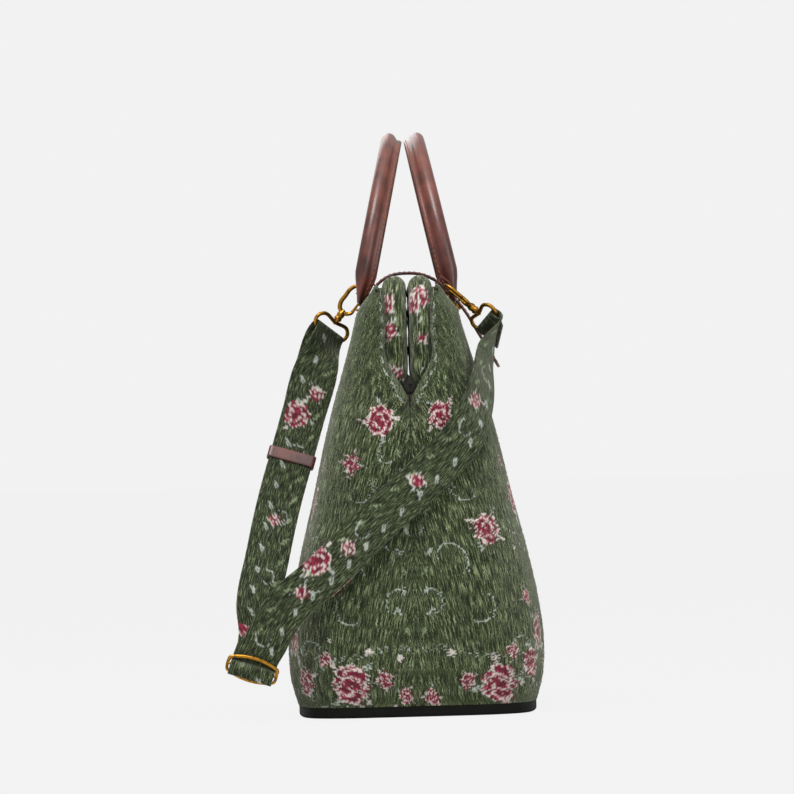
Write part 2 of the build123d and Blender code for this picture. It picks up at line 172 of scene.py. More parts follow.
def stepped(material: Material, source: Socket, low: float, high: float) -> Socket:
    """Maps a noise value from low..high to 0..1, clamped.

    Args:
        material: the material that gets the node.
        source: the socket to map.
        low: value that becomes 0.
        high: value that becomes 1.

    Returns:
        The mapped value's socket.
    """
    ramp = add_node(material, "MapRange", {"Value": source, "From Min": low, "From Max": high})
    return ramp.outputs[0]


def shaded(material: Material, colour, source: Socket, span: Pair, greys: Pair) -> Socket:
    """Multiplies a colour by a grey that follows a noise value.

    Args:
        material: the material that gets the nodes.
        colour: colour or socket.
        source: the noise value.
        span: noise values at which the first and the second grey are reached.
        greys: the first and the second grey.

    Returns:
        The shaded colour's socket.
    """
    first, second = ((grey, grey, grey, 1) for grey in greys)
    grey = blended(material, stepped(material, source, *span), first, second)
    return blended(material, 1.0, colour, grey, "MULTIPLY")


def noise(material: Material, place: Socket, scale: float, **more: float) -> Socket:
    """Returns a noise value at a place; more holds the noise node's other inputs."""
    return add_node(material, "TexNoise", {"Vector": place, "Scale": scale, **more}).outputs[0]


def bumped(material: Material, height, strength: float, depth_mm: float) -> Socket:
    """Returns the normal of a surface raised by a height value, in millimetres."""
    values = {"Height": height, "Strength": strength, "Distance": depth_mm * MM}
    return add_node(material, "Bump", values).outputs[0]


def roughened(material: Material, source, low: float, high: float) -> Socket:
    """Returns a roughness from low to high that follows a noise value."""
    return add_node(material, "MapRange", {"Value": source, "To Min": low, "To Max": high}).outputs[0]


@dataclass(frozen=True)
class ChenilleFinish:
    """Woven chenille: soft streaked pile over which the coloured yarns float."""

    name: str
    ground: str
    shade: str
    light: str
    streak_mm: float = 1.1
    streak_length_mm: float = 13.0
    tuft_mm: float = 0.7
    tuft_length_mm: float = 1.9
    patch_mm: float = 34.0
    patch_length_mm: float = 60.0
    bump: float = 0.75
    sheen: float = 0.30
    sheen_tint: str = "d8dcc8"

    def build(self) -> Material:
        """Makes the material; the mesh gives its pile map and its yarn colours."""
        material, shader = blank_material(self.name)
        pile = add_node(material, "UVMap", uv_map="pile").outputs[0]

        def grain(across: float, along: float, detail: float) -> Socket:
            """Returns a noise value whose grain has a width and a length in millimetres."""
            scale = (1 / (across * MM), 1 / (along * MM), 1)
            scaled = add_node(material, "Mapping", {"Vector": pile, "Scale": scale}).outputs[0]
            return noise(material, scaled, 1.0, Detail=detail, Roughness=0.6)

        streaks = grain(self.streak_mm, self.streak_length_mm, 3.0)
        tufts = grain(self.tuft_mm, self.tuft_length_mm, 2.0)
        patches = grain(self.patch_mm, self.patch_length_mm, 2.0)
        yarn = add_node(material, "Attribute", attribute_name="yarn")
        lit, crest = stepped(material, streaks, 0.40, 0.58), stepped(material, streaks, 0.52, 0.70)
        ground = blended(material, lit, linear(self.shade), linear(self.ground))
        ground = blended(material, crest, ground, linear(self.light))
        figure = shaded(material, yarn.outputs["Color"], streaks, (0.25, 0.80), (0.62, 1.12))
        colour = blended(material, yarn.outputs["Alpha"], ground, figure)
        colour = shaded(material, colour, patches, (0.3, 0.7), (0.80, 1.1))
        colour = shaded(material, colour, tufts, (0.30, 0.62), (0.42, 1.12))
        height = add_node(material, "Math", {0: streaks, 1: tufts}, operation="ADD").outputs[0]
        values = {
            "Base Color": colour,
            "Normal": bumped(material, height, self.bump, 1.1),
            "Roughness": 0.92,
            "IOR": 1.46,
            "Specular IOR Level": 0.22,
            "Sheen Weight": self.sheen,
            "Sheen Roughness": 0.45,
            "Sheen Tint": linear(self.sheen_tint),
        }
        feed(material, shader, values)
        return material


@dataclass(frozen=True)
class LeatherFinish:
    """Dyed leather with a waxed top coat, darker in cloudy patches and paler towards its top."""

    name: str
    base: str
    dark: str
    upper_tint: str
    roughness: float
    coat: float
    grain_mm: float = 1.3
    bump: float = 0.25
    gloss: float = 0.5
    upper_tint_height: Pair = (0.40, 0.52)

    def build(self) -> Material:
        """Makes the material in the object's own space, which is the bag's frame."""
        material, shader = blank_material(self.name)
        place = add_node(material, "TexCoord").outputs["Object"]
        clouds = noise(material, place, 55.0, Detail=4.0)
        grain = {"Vector": place, "Scale": 1 / (self.grain_mm * MM)}
        pores = add_node(material, "TexVoronoi", grain, feature="SMOOTH_F1").outputs[0]
        specks = noise(material, place, 900.0, Detail=2.0)
        height = add_node(material, "SeparateXYZ", {0: place}).outputs[2]
        # Paler towards the top: from 0.40 m up, the clouds mix in the upper tint.
        height_share = stepped(material, height, *self.upper_tint_height)
        upper_tint_share = add_node(material, "Math", {0: height_share, 1: clouds}, operation="MULTIPLY").outputs[0]
        even = stepped(material, clouds, 0.35, 0.65)
        colour = blended(material, even, linear(self.dark), linear(self.base))
        colour = blended(material, upper_tint_share, colour, linear(self.upper_tint))
        values = {
            "Base Color": shaded(material, colour, specks, (0.3, 0.7), (0.86, 1.08)),
            "Roughness": roughened(material, clouds, self.roughness - 0.06, self.roughness + 0.12),
            "Normal": bumped(material, pores, self.bump, 0.35),
            "IOR": 1.5,
            "Specular IOR Level": self.gloss,
            "Coat Weight": self.coat,
            "Coat Roughness": 0.22,
        }
        feed(material, shader, values)
        return material


@dataclass(frozen=True)
class MetalFinish:
    """Cast or drawn metal with tarnish in its hollows."""

    name: str
    base: str
    tarnish: str
    roughness: float
    tarnish_share: Pair = (0.52, 0.72)

    def build(self) -> Material:
        """Makes the material in the object's own space."""
        material, shader = blank_material(self.name)
        place = add_node(material, "TexCoord").outputs["Object"]
        clouds = noise(material, place, 260.0, Detail=5.0)
        pits = noise(material, place, 1600.0, Detail=2.0)
        tarnished = stepped(material, clouds, *self.tarnish_share)
        values = {
            "Base Color": blended(material, tarnished, linear(self.base), linear(self.tarnish)),
            "Roughness": roughened(material, clouds, self.roughness - 0.08, self.roughness + 0.22),
            "Normal": bumped(material, pits, 0.12, 0.1),
            "Metallic": 1.0,
        }
        feed(material, shader, values)
        return material


@dataclass(frozen=True)
class ClothFinish:
    """Plain woven cloth or pressed board, from a fine two-way grain."""

    name: str
    base: str
    dark: str
    thread_mm: float = 0.8

    def build(self) -> Material:
        """Makes the material in the object's own space."""
        material, shader = blank_material(self.name)
        place = add_node(material, "TexCoord").outputs["Object"]
        weave = noise(material, place, 1 / (self.thread_mm * MM))
        clouds = noise(material, place, 18.0, Detail=3.0)
        colour = blended(material, stepped(material, weave, 0.3, 0.7), linear(self.dark), linear(self.base))
        values = {
            "Base Color": shaded(material, colour, clouds, (0.3, 0.7), (0.85, 1.05)),
            "Normal": bumped(material, weave, 0.4, 0.4),
            "Roughness": 0.9,
        }
        feed(material, shader, values)
        return material


CHENILLE = ChenilleFinish("chenille_tapestry_jacquard_woven", "414c2d", "161c0d", "98a37b")
# A darker copy of the panels' chenille: painted shade on the shoulder strap, which hangs in shadow.
SHADED_STRAP_CHENILLE = ChenilleFinish("chenille_tapestry_strap_woven", "374126", "12170b", "7f8a66")
BROWN_LEATHER = LeatherFinish("brown_leather_rolled_and_waxed", "5e2a20", "341511", "7c4434", 0.38, 0.18)
BASE_LEATHER = LeatherFinish("black_leather_pebbled", "0b0b08", "060605", "12120e", 0.66, 0.0, 1.9, 0.5, 0.12)
ANTIQUE_BRASS = MetalFinish("antique_brass_cast_and_rubbed", "a5762b", "3a2510", 0.30)
# Steel's own dark grey, made darker still as painted shade: it stands in for the shade in the hinge rivets'
# holes.
FRAME_STEEL = MetalFinish("mild_steel_bar_blackened", "3a3936", "1c1b19", 0.46)
LINING_CLOTH = ClothFinish("cotton_lining_plain_woven", "3d3527", "2a2419")
FIBRE_BOARD = ClothFinish("fibre_board_pressed", "6b5a45", "4e402f", 1.6)
STITCH_THREAD = ClothFinish("waxed_linen_thread_twisted", "a8683f", "6e3f26", 0.3)


class Yarn(Enum):
    """Dyed yarns of the figured weave, as sRGB hex codes."""

    CRIMSON = "9a2c45"
    WINE = "5c1a2c"
    PINK = "c4808a"
    CREAM = "e2d9d0"
    SILVER = "bcc4b8"
    MOSS = "22301a"
    SAGE = "93a27c"

    @property
    def colour(self) -> np.ndarray:
        """Linear colour of the yarn."""
        return np.array(linear(self.value)[:3])


def scrambled(values: np.ndarray, scale: float) -> np.ndarray:
    """Returns values from 0 to 1 that look random, and are the same on each run."""
    return np.modf(np.abs(np.sin(values) * scale))[0]


@dataclass
class Tapestry:
    """Figures woven into a cloth, worked out for a set of points on it.

    Args:
        across: each point's place across the cloth, in millimetres.
        along: each point's place along the pile, in millimetres.
    """

    across: np.ndarray
    along: np.ndarray
    colour: np.ndarray = field(init=False)
    cover: np.ndarray = field(init=False)

    def __post_init__(self) -> None:
        column = np.round(self.across / 1.5)
        ragged = scrambled(column * 12.9898, 43758.5453) - 0.5
        course = np.round(self.along / 2.0)
        jog = scrambled(course * 78.233 + column * 3.1, 9631.77) - 0.5
        self.along = self.along + ragged * 1.5
        self.across = self.across + jog * 0.5
        self.colour = np.zeros((len(self.across), 3))
        self.cover = np.zeros(len(self.across))

    def lay(self, mask: np.ndarray, yarn: Yarn, share: float = 1.0) -> None:
        """Floats a yarn over the cloth where the mask is above 0."""
        weight = np.clip(mask, 0, 1) * share
        total = self.cover + weight * (1 - self.cover)
        mix = np.divide(weight, np.maximum(total, 1e-6))
        mix = np.clip(mix, 0, 1)[:, None]
        self.colour = self.colour * (1 - mix) + yarn.colour * mix
        self.cover = total

    def near(self, place: Pair, reach: float) -> tuple[np.ndarray, np.ndarray, np.ndarray]:
        """Returns the offsets from a place, and a mask of the points within reach of it."""
        x, y = self.across - place[0], self.along - place[1]
        return x, y, (np.abs(x) < reach) & (np.abs(y) < reach)

    def strokes(self, angle: np.ndarray, r: np.ndarray, radius: float) -> np.ndarray:
        """Returns a 0 to 1 value that changes from one radial stitch to the next."""
        count = max(int(2 * math.pi * radius / 1.5), 9)
        stitch = np.round(angle / (2 * math.pi) * count)
        ring = np.round(r * radius / 2.6)
        return scrambled(stitch * 17.13 + ring * 5.71, 9381.3)

    def rose(self, place: Pair, radius: float, turn: float = 0.0) -> None:
        """Weaves an open rose: scalloped petals in short radial stitches round a dark heart.

        Args:
            place: centre across and along, in millimetres.
            radius: outer radius in millimetres.
            turn: angle of its first petal in radians.
        """
        for k in range(4):
            a = turn + 0.7 + k * 1.55
            root = (place[0] + math.cos(a) * radius * 0.85, place[1] + math.sin(a) * radius * 0.85)
            bend = a + 0.5
            tip = (root[0] + math.cos(bend) * radius * 0.75, root[1] + math.sin(bend) * radius * 0.75)
            self.leaf(root, tip, max(radius * 0.13, 1.0), Yarn.SILVER if k % 2 else Yarn.CREAM)
        x, y, close = self.near(place, radius * 1.2)
        r = np.hypot(x, y) / radius
        angle = np.arctan2(y, x) + turn
        edge = 0.84 + 0.14 * np.abs(np.cos(3.5 * angle))
        inside = close & (r < edge)
        stitch = self.strokes(angle, r, radius)
        fold = np.sin(3 * (angle - 4.6 * r))
        inner = np.sin(2 * (angle + 6.5 * r) + 1.0)
        self.lay(inside.astype(float), Yarn.CRIMSON)
        self.lay(inside & (stitch > 0.66), Yarn.WINE, 0.75)
        self.lay(inside & (fold < -0.62) & (r > 0.24), Yarn.WINE, 0.9)
        self.lay(inside & (fold > 0.30) & (r > 0.30) & (stitch > 0.22), Yarn.PINK, 0.9)
        self.lay(inside & (fold > 0.62) & (r > 0.34) & (stitch > 0.30), Yarn.CREAM, 0.95)
        self.lay(inside & (inner > 0.72) & (r > 0.18) & (r < 0.52) & (stitch > 0.25), Yarn.CREAM, 0.9)
        self.lay(inside & (r > edge - 0.13) & (stitch > 0.34), Yarn.CREAM, 0.92)
        self.lay(close & (r < 0.13), Yarn.WINE)

    def leaf(self, base: Pair, tip: Pair, width: float, yarn: Yarn) -> None:
        """Weaves a pointed leaf with a dark midrib from base to tip."""
        length = math.hypot(tip[0] - base[0], tip[1] - base[1])
        ux, uy = (tip[0] - base[0]) / length, (tip[1] - base[1]) / length
        x, y = self.across - base[0], self.along - base[1]
        run = (x * ux + y * uy) / length
        off = np.abs(-x * uy + y * ux)
        half = width * np.sin(np.clip(run, 0, 1) * math.pi) ** 0.8
        inside = (run > 0) & (run < 1) & (off < half)
        self.lay(inside, yarn, 0.85)
        self.lay(inside & (off < width * 0.14), Yarn.MOSS, 0.8)

    def scroll(
        self, place: Pair, radius: float, start: float, sweep: float, width: float = 1.8
    ) -> None:
        """Weaves a silver scroll that narrows as it winds inwards.

        Args:
            place: centre across and along, in millimetres.
            radius: radius at its thick end.
            start: angle of its thick end in radians.
            sweep: angle it turns through, signed.
            width: width of its thick end.
        """
        steps = max(int(abs(sweep) * radius / 1.5), 12)
        for k in range(steps):
            share = k / steps
            a = start + sweep * share
            r = radius * (1 - 0.62 * share)
            spot = (place[0] + r * math.cos(a), place[1] + r * math.sin(a))
            x, y, close = self.near(spot, width * 2)
            blob = np.hypot(x, y) / (width * (1 - 0.6 * share) * 0.5)
            self.lay(close & (blob < 1.0), Yarn.SILVER, 0.78)

    def diamond(self, place: Pair, size: float) -> None:
        """Weaves a small cream diamond."""
        x, y, close = self.near(place, size * 1.5)
        self.lay(close & (np.abs(x) + np.abs(y) < size), Yarn.CREAM, 0.95)

    def spray(self, place: Pair, radius: float, turn: float) -> None:
        """Weaves one bunch of the ground's repeat: a rose, two buds, scrolls and diamonds."""
        x, y = place
        self.scroll((x + radius * 2.2, y + radius * 0.9), radius * 1.25, turn, 4.2)
        self.scroll((x - radius * 2.0, y - radius * 1.1), radius * 1.1, turn + 2.6, -4.0)
        self.rose(place, radius, turn)
        for k, (dx, dy) in enumerate(((1.7, -1.5), (-1.5, 1.8))):
            self.rose((x + dx * radius, y + dy * radius), radius * 0.42, turn + k)
        for k in range(5):
            self.diamond((x + (k - 2) * radius * 1.1, y - radius * 2.6 + 2.5 * math.sin(k * 2.0)), 2.4)

    def garland(self, low: float, high: float, height: float) -> None:
        """Weaves a wavy row of small leaf pairs with cream diamonds from low to high across the cloth."""
        for k in range(int((high - low) / 7.0)):
            x = low + 7.0 * k
            y = height + 4.5 * math.sin(x / 17.0)
            yarn = Yarn.SILVER if k % 3 else Yarn.SAGE
            self.leaf((x, y), (x + 4.2, y + 3.4), 0.9, yarn)
            self.leaf((x, y), (x + 4.6, y - 2.6), 0.9, yarn)
        for k in range(int((high - low) / 36)):
            if 80 < low + 36 * k < high - 80:
                self.diamond((low + 18 + 36 * k, height + 7 * math.sin(k * 1.7)), 3.6)

    def paint(self, piece: Piece) -> None:
        """Stores the woven colours on the piece's points, with their cover as alpha."""
        values = np.concatenate([self.colour, self.cover[:, None]], axis=1).astype(np.float32)
        attribute = piece.data.color_attributes.new("yarn", "FLOAT_COLOR", "POINT")
        attribute.data.foreach_set("color", values.ravel())


def eased(at: np.ndarray, knots: np.ndarray, values: np.ndarray) -> np.ndarray:
    """Runs a smooth curve through values at uneven knots.

    Args:
        at: where the curve is read.
        knots: rising places of the values.
        values: one row per knot.

    Returns:
        One row per place in at.
    """
    spans = np.maximum(np.diff(knots), 1e-9)
    slopes = np.diff(values, axis=0) / spans[:, None]
    share = (spans[:-1] / (spans[:-1] + spans[1:]))[:, None]
    inner = slopes[:-1] * (1 - share) + slopes[1:] * share
    tangents = np.vstack([slopes[:1], inner, slopes[-1:]])
    i = np.clip(np.searchsorted(knots, at, side="right") - 1, 0, len(spans) - 1)
    t = ((at - knots[i]) / spans[i])[:, None]
    h = spans[i][:, None]
    rise = t * t * (3 - 2 * t)
    return (
        values[i] * (1 - rise)
        + values[i + 1] * rise
        + tangents[i] * (t * (1 - t) ** 2) * h
        + tangents[i + 1] * (t * t * (t - 1)) * h
    )


def distances(points: np.ndarray, axis: int = 0) -> np.ndarray:
    """Returns each point's running distance from the first one along an axis of a grid."""
    steps = np.linalg.norm(np.diff(points, axis=axis), axis=-1)
    start = np.zeros_like(np.take(steps, [0], axis=axis))
    return np.concatenate([start, np.cumsum(steps, axis=axis)], axis=axis)


def evenly(points: np.ndarray, step: float) -> np.ndarray:
    """Smooths a route and returns points along it at about one spacing."""
    route = np.array(points, float)
    knots = distances(route)
    fine = eased(np.linspace(0, knots[-1], len(route) * 12), knots, route)
    length = distances(fine[:, :3])
    at = np.linspace(0, length[-1], max(int(length[-1] / step), 2) + 1)
    return np.stack([np.interp(at, length, fine[:, k]) for k in range(fine.shape[1])], axis=1)


def loft(name: str, rings: np.ndarray, round_closed: bool = True, run_closed: bool = False) -> Piece:
    """Skins a grid of points, given in millimetres, and maps its pile.

    Args:
        name: the piece's name.
        rings: points shaped (rings, points in a ring, 3).
        round_closed: whether each ring joins its first point to its last.
        run_closed: whether the last ring joins the first.

    Returns:
        The new piece, smooth shaded, with capped ends where its rings are closed.
    """
    n, m, _ = rings.shape
    mesh = bpy.data.meshes.new(name)
    faces = []
    for i in range(n if run_closed else n - 1):
        for j in range(m if round_closed else m - 1):
            a, b = i * m, ((i + 1) % n) * m
            k = (j + 1) % m
            faces.append((a + j, a + k, b + k, b + j))
    if round_closed and not run_closed:
        faces.append(tuple(range(m - 1, -1, -1)))
        faces.append(tuple((n - 1) * m + j for j in range(m)))
    mesh.from_pydata((rings.reshape(-1, 3) * MM).tolist(), [], faces)
    mesh.update()
    mesh.shade_smooth()
    piece = bpy.data.objects.new(name, mesh)
    bpy.context.collection.objects.link(piece)
    log.info("%s: %d faces", name, len(faces))
    return piece


def map_pile(piece: Piece, across: np.ndarray, along: np.ndarray) -> None:
    """Gives the piece its pile map from each point's place, in millimetres."""
    layer = piece.data.uv_layers.new(name="pile")
    corners = np.empty(len(piece.data.loops), int)
    piece.data.loops.foreach_get("vertex_index", corners)
    places = np.stack([across[corners], along[corners]], axis=1) * MM
    layer.data.foreach_set("uv", places.astype(np.float32).ravel())


def ring_lengths(rings: np.ndarray) -> tuple[np.ndarray, np.ndarray]:
    """Returns each point's distance round its ring and along the run, in millimetres."""
    run = distances(rings.mean(axis=1))
    return distances(rings, 1), np.repeat(run[:, None], rings.shape[1], axis=1)


def finish_with(piece: Piece, material: Material) -> Piece:
    """Puts a finish on the piece."""
    piece.data.materials.clear()
    piece.data.materials.append(material)
    return piece


def tube(
    name: str,
    route: np.ndarray,
    radii: np.ndarray,
    sides: int = 16,
    closed: bool = False,
    flat: float = 1.0,
    facing: Vector | None = None,
) -> Piece:
    """Makes a round bar along a route in millimetres, with rounded ends.

    Args:
        name: the piece's name.
        route: points along the middle.
        radii: radius at each point.
        sides: points round the bar.
        closed: whether the route joins its own start.
        flat: thickness along the facing direction as a share of the radius.
        facing: direction that stays square to the route.

    Returns:
        The new piece.
    """
    points = np.array(route, float)
    if closed:
        ahead, behind = np.roll(points, -1, axis=0), np.roll(points, 1, axis=0)
    else:
        ahead = np.vstack([points[1:], points[-1:]])
        behind = np.vstack([points[:1], points[:-1]])
    tangent = ahead - behind
    tangent /= np.linalg.norm(tangent, axis=1)[:, None]
    side = np.array(facing if facing is not None else (0, 1, 0), float)
    rings = []
    angle = np.linspace(0, 2 * math.pi, sides, endpoint=False)
    for p, t, r in zip(points, tangent, radii):
        u = side - t * np.dot(side, t)
        u /= np.linalg.norm(u)
        v = np.cross(t, u)
        rings.append(p + r * (np.outer(np.cos(angle) * flat, u) + np.outer(np.sin(angle), v)))
        side = u
    if not closed:
        start, end = rings[0], rings[-1]
        caps = [(0.94, 0.35), (0.72, 0.70), (0.30, 0.95)]
        back, on = tangent[0] * radii[0] * flat, tangent[-1] * radii[-1] * flat
        head = [points[0] + (start - points[0]) * s - back * d for s, d in reversed(caps)]
        tail = [points[-1] + (end - points[-1]) * s + on * d for s, d in caps]
        rings = head + rings + tail
    return loft(name, np.array(rings), run_closed=closed)


def located(points: np.ndarray, y: float, z: float) -> int:
    """Returns the point nearest the camera among those seen at a place of the end view, in millimetres."""
    gap = np.hypot(points[:, 1] - y, points[:, 2] - z)
    close = np.where(gap < max(gap.min() + 1.0, 4.0))[0]
    return int(close[np.argmin(points[close, 0])])


@dataclass(frozen=True)
class BodyShape:
    """Outline of the bag's body at each height, in millimetres.

    Each row is height, half depth, half length, corner rounding, half width of the mouth,
    and how far the end's crease or lip turns in.
    """

    rows: tuple[tuple[float, ...], ...] = (
        (9.3, 104.0, 232.0, 60.0, 0.4, 1.0),
        (32.0, 110.0, 238.0, 62.0, 0.4, 1.5),
        (58.0, 111.6, 240.0, 64.0, 0.4, 2.0),
        (101.0, 107.0, 239.0, 64.0, 0.4, 3.0),
        (135.0, 100.0, 236.0, 62.0, 0.4, 5.0),
        (187.0, 87.0, 230.0, 58.0, 0.4, 8.0),
        (239.0, 75.0, 224.0, 52.0, 0.4, 11.0),
        (262.0, 69.0, 220.0, 48.0, 0.4, 12.5),
        (273.0, 66.0, 218.0, 47.0, 1.4, 11.5),
        (284.0, 62.5, 216.0, 45.0, 6.6, 11.0),
        (296.0, 58.8, 214.0, 43.0, 13.6, 9.8),
        (308.0, 55.0, 212.0, 41.0, 19.0, 9.5),
        (335.0, 47.0, 208.0, 36.0, 19.2, 8.0),
        (352.0, 41.6, 205.0, 30.0, 19.4, 7.0),
        (365.0, 31.6, 201.0, 20.0, 20.5, 4.0),
        (372.4, 26.4, 198.0, 12.0, 21.6, 1.0),
    )

    def outline(self, height: float) -> np.ndarray:
        """Returns the 15 shaping points of one side at a height, from left to right."""
        table = np.array(self.rows)
        _, depth, length, corner, mouth, dip = eased(np.array([height]), table[:, 0], table)[0]
        mouth = max(mouth, 0.4)
        run = depth - mouth
        quarter = [
            (length - dip, mouth),
            (length - 0.3 * dip, mouth + 0.13 * run),
            (length - 0.02 * corner, mouth + 0.38 * run),
            (length - 0.10 * corner, mouth + 0.64 * run),
            (length - 0.42 * corner, mouth + 0.87 * run),
            (length - corner, mouth + 0.965 * run),
            (0.45 * length, mouth + 0.995 * run),
            (0.0, depth),
        ]
        return np.array([(-x, y) for x, y in quarter] + [(x, y) for x, y in reversed(quarter[:-1])])

    def grid(self, side: Side, columns: np.ndarray, heights: np.ndarray) -> np.ndarray:
        """Returns points of one side, shaped (heights, columns, 3).

        Args:
            side: front or back.
            columns: places along the outline, counted in its shaping points.
            heights: heights of the rows.
        """
        rows = []
        for z in heights:
            shape = self.outline(z)
            knots = distances(shape)
            at = np.interp(columns, np.arange(len(knots)), knots)
            xy = eased(at, knots, shape)
            rows.append(np.column_stack([xy[:, 0], xy[:, 1] * side.value, np.full(len(xy), z)]))
        return np.array(rows)


@dataclass(frozen=True)
class PanelSewing:
    """How finely a panel is woven and where its figures stand, in millimetres."""

    seen_columns: int = 150
    middle_columns: int = 84
    far_columns: int = 66
    levels: int = 296
    hem: float = 5.0
    hem_t: float = 1.5
    pile: float = 0.45
    sprays_step: float = 118.0


@dataclass(frozen=True)
class Figure:
    """A rose woven at a place of the bag's left end, in millimetres."""

    y: float
    z: float
    radius: float


END_ROSES = (
    Figure(60.7, 27.0, 19.0),
    Figure(-75.5, 24.5, 19.0),
    Figure(100.0, 31.0, 13.0),
    Figure(-103.0, 42.0, 14.0),
    Figure(26.0, 29.0, 8.0),
    Figure(-45.0, 27.0, 7.5),
    Figure(29.9, 258.5, 14.5),
    Figure(-28.8, 261.0, 13.0),
    Figure(55.8, 218.5, 9.5),
    Figure(-67.2, 162.4, 14.5),
    Figure(81.7, 53.0, 7.0),
    Figure(-85.7, 56.0, 7.0),
    Figure(8.0, 14.0, 8.0),
    Figure(-14.0, 13.0, 8.0),
    Figure(-20.0, 205.0, 6.0),
    Figure(38.0, 180.0, 6.0),
)
"""Roses of the left end, front and back."""

END_DIAMONDS = (
    Figure(44.5, 57.9, 4.2),
    Figure(16.2, 48.6, 4.2),
    Figure(-27.8, 51.2, 4.4),
    Figure(79.0, 68.0, 2.6),
)
"""Cream diamonds of the left end, front and back."""


class Panels:
    """The two chenille panels with their backing, and the woven figures on them."""

    CORNER_DROP, CORNER_PULL = 8.0, 6.0
    """How far the top corners of a panel sag and draw in round the frame, in millimetres."""

    def __init__(self, shape: BodyShape, sewing: PanelSewing, weave: Material) -> None:
        self.shape = shape
        self.sewing = sewing
        self.weave = weave

    def columns(self, share: float = 1.0) -> np.ndarray:
        """Places of the panel's columns, closest at the left end."""
        sewing = self.sewing
        counts = [int(n * share) for n in (sewing.seen_columns, sewing.middle_columns, sewing.far_columns)]
        left = np.linspace(0, 5, counts[0], endpoint=False)
        centre = np.linspace(5, 9, counts[1], endpoint=False)
        return np.concatenate([left, centre, np.linspace(9, 14, counts[2])])

    def draped(self, grid: np.ndarray, side: Side) -> np.ndarray:
        """Adds the soft hollows and pulls of a filled cloth bag to a grid of points."""
        x, y, z = grid[..., 0], grid[..., 1], grid[..., 2]
        end = np.clip((np.abs(x) - 150) / 60, 0, 1)
        rim = np.clip((z - 250) / 90, 0, 1)
        low = np.clip((120 - z) / 100, 0, 1)
        pull = 1.3 * np.sin(np.abs(y) * 0.16 + z * 0.035) * end * (1 - rim) * (0.35 + low)
        lobe = 1.1 * np.sin(np.abs(y) * 0.30 - z * 0.05) * rim * end
        sway = 2.0 * np.sin(x * 0.021 + side.value) * np.clip((z - 40) / 120, 0, 1) * (1 - end) * (1 - rim)
        pleat = -2.6 * np.exp(-(((np.abs(y) - 3.0) / 3.0) ** 2) - ((z - 160) / 26) ** 2) * end
        fade = np.clip((z - 9.3) / 14, 0, 1) * np.clip((371.5 - z) / 12, 0, 1)
        grid[..., 0] += np.sign(x) * (pull + lobe + pleat) * fade
        grid[..., 1] += side.value * (sway - 0.6 * np.abs(sway)) * fade * 0.5
        corner = np.clip((np.abs(x) - 165) / 50, 0, 1) ** 2 * np.clip((z - 290) / 80, 0, 1)
        grid[..., 0] -= np.sign(x) * self.CORNER_PULL * corner
        grid[..., 2] -= self.CORNER_DROP * corner
        return grid

    def hemmed(self, grid: np.ndarray) -> np.ndarray:
        """Turns a narrow hem inwards along the top and both ends of a grid."""
        normal = np.cross(np.gradient(grid, axis=1), np.gradient(grid, axis=0))
        normal /= np.maximum(np.linalg.norm(normal, axis=2), 1e-9)[..., None]
        middle = grid.mean(axis=(0, 1))
        flip = np.sign(((grid - middle) * normal).sum(axis=2).mean())
        inward = -flip * normal
        hem, thick = self.sewing.hem, self.sewing.hem_t

        def folded(edge: np.ndarray, depth: np.ndarray, back: np.ndarray) -> list[np.ndarray]:
            """Returns the three rows of points that turn an edge in and back on itself."""
            back = back / np.maximum(np.linalg.norm(back, axis=1), 1e-9)[:, None]
            return [
                edge + depth * thick * 0.25 - back * thick * 0.30,
                edge + depth * thick * 0.75 - back * thick * 0.30,
                edge + depth * thick + back * hem,
            ]

        left = folded(grid[:, 0], inward[:, 0], grid[:, 1] - grid[:, 0])
        right = folded(grid[:, -1], inward[:, -1], grid[:, -2] - grid[:, -1])
        wide = np.concatenate([np.stack(left[::-1], axis=1), grid, np.stack(right, axis=1)], axis=1)
        inward = np.concatenate([inward[:, :1]] * 3 + [inward] + [inward[:, -1:]] * 3, axis=1)
        top = folded(wide[-1], inward[-1], wide[-2] - wide[-1])
        return np.concatenate([wide, np.stack(top, axis=0)], axis=0)

    def build(self, side: Side) -> Piece:
        """Makes one panel with its hem, figures and pile."""
        heights = np.linspace(self.shape.rows[0][0], self.shape.rows[-1][0], self.sewing.levels)
        columns = self.columns()
        grid = self.draped(self.shape.grid(side, columns, heights), side)
        cloth = self.hemmed(grid)
        rng = np.random.default_rng(SEED + side.value)
        fuzz = rng.normal(0, self.sewing.pile * 0.5, cloth.shape[:2])
        fuzz[:2] = 0
        cloth[..., 0] += fuzz * np.sign(cloth[..., 0]) * np.clip((np.abs(cloth[..., 0]) - 150) / 60, 0, 1)
        cloth[..., 1] += fuzz * side.value
        piece = loft(f"{side.word}_panel_cloth", cloth, round_closed=False)
        s = distances(cloth, 1)
        t = np.repeat(cloth[:, cloth.shape[1] // 4, 2][:, None], cloth.shape[1], axis=1)
        reference = s[len(s) // 3]
        fan = np.repeat(reference[None, :], len(s), axis=0)
        from_seam = np.minimum(s, s[:, -1:] - s)
        outward = np.where(s < s[:, -1:] / 2, 1, -1)
        share = np.clip(1 - from_seam / 160, 0, 1) ** 1.5
        chevron = 0.36 * share * (t - 190) + 0.45 * share * np.maximum(t - 255, 0)
        map_pile(piece, (fan + outward * chevron).ravel(), t.ravel())
        points = cloth.reshape(-1, 3)
        weave = Tapestry(s.ravel().copy(), t.ravel().copy())
        self.figure(weave, side, points, s.ravel(), t.ravel())
        weave.paint(piece)
        finish_with(piece, self.weave)
        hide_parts(f"{side.word}_panel")
        self.bend(piece, side)
        return piece

    def bend(self, piece: Piece, side: Side) -> None:
        """Bakes the piece's transform into its mesh."""
        side.frame_body
        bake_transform(piece)

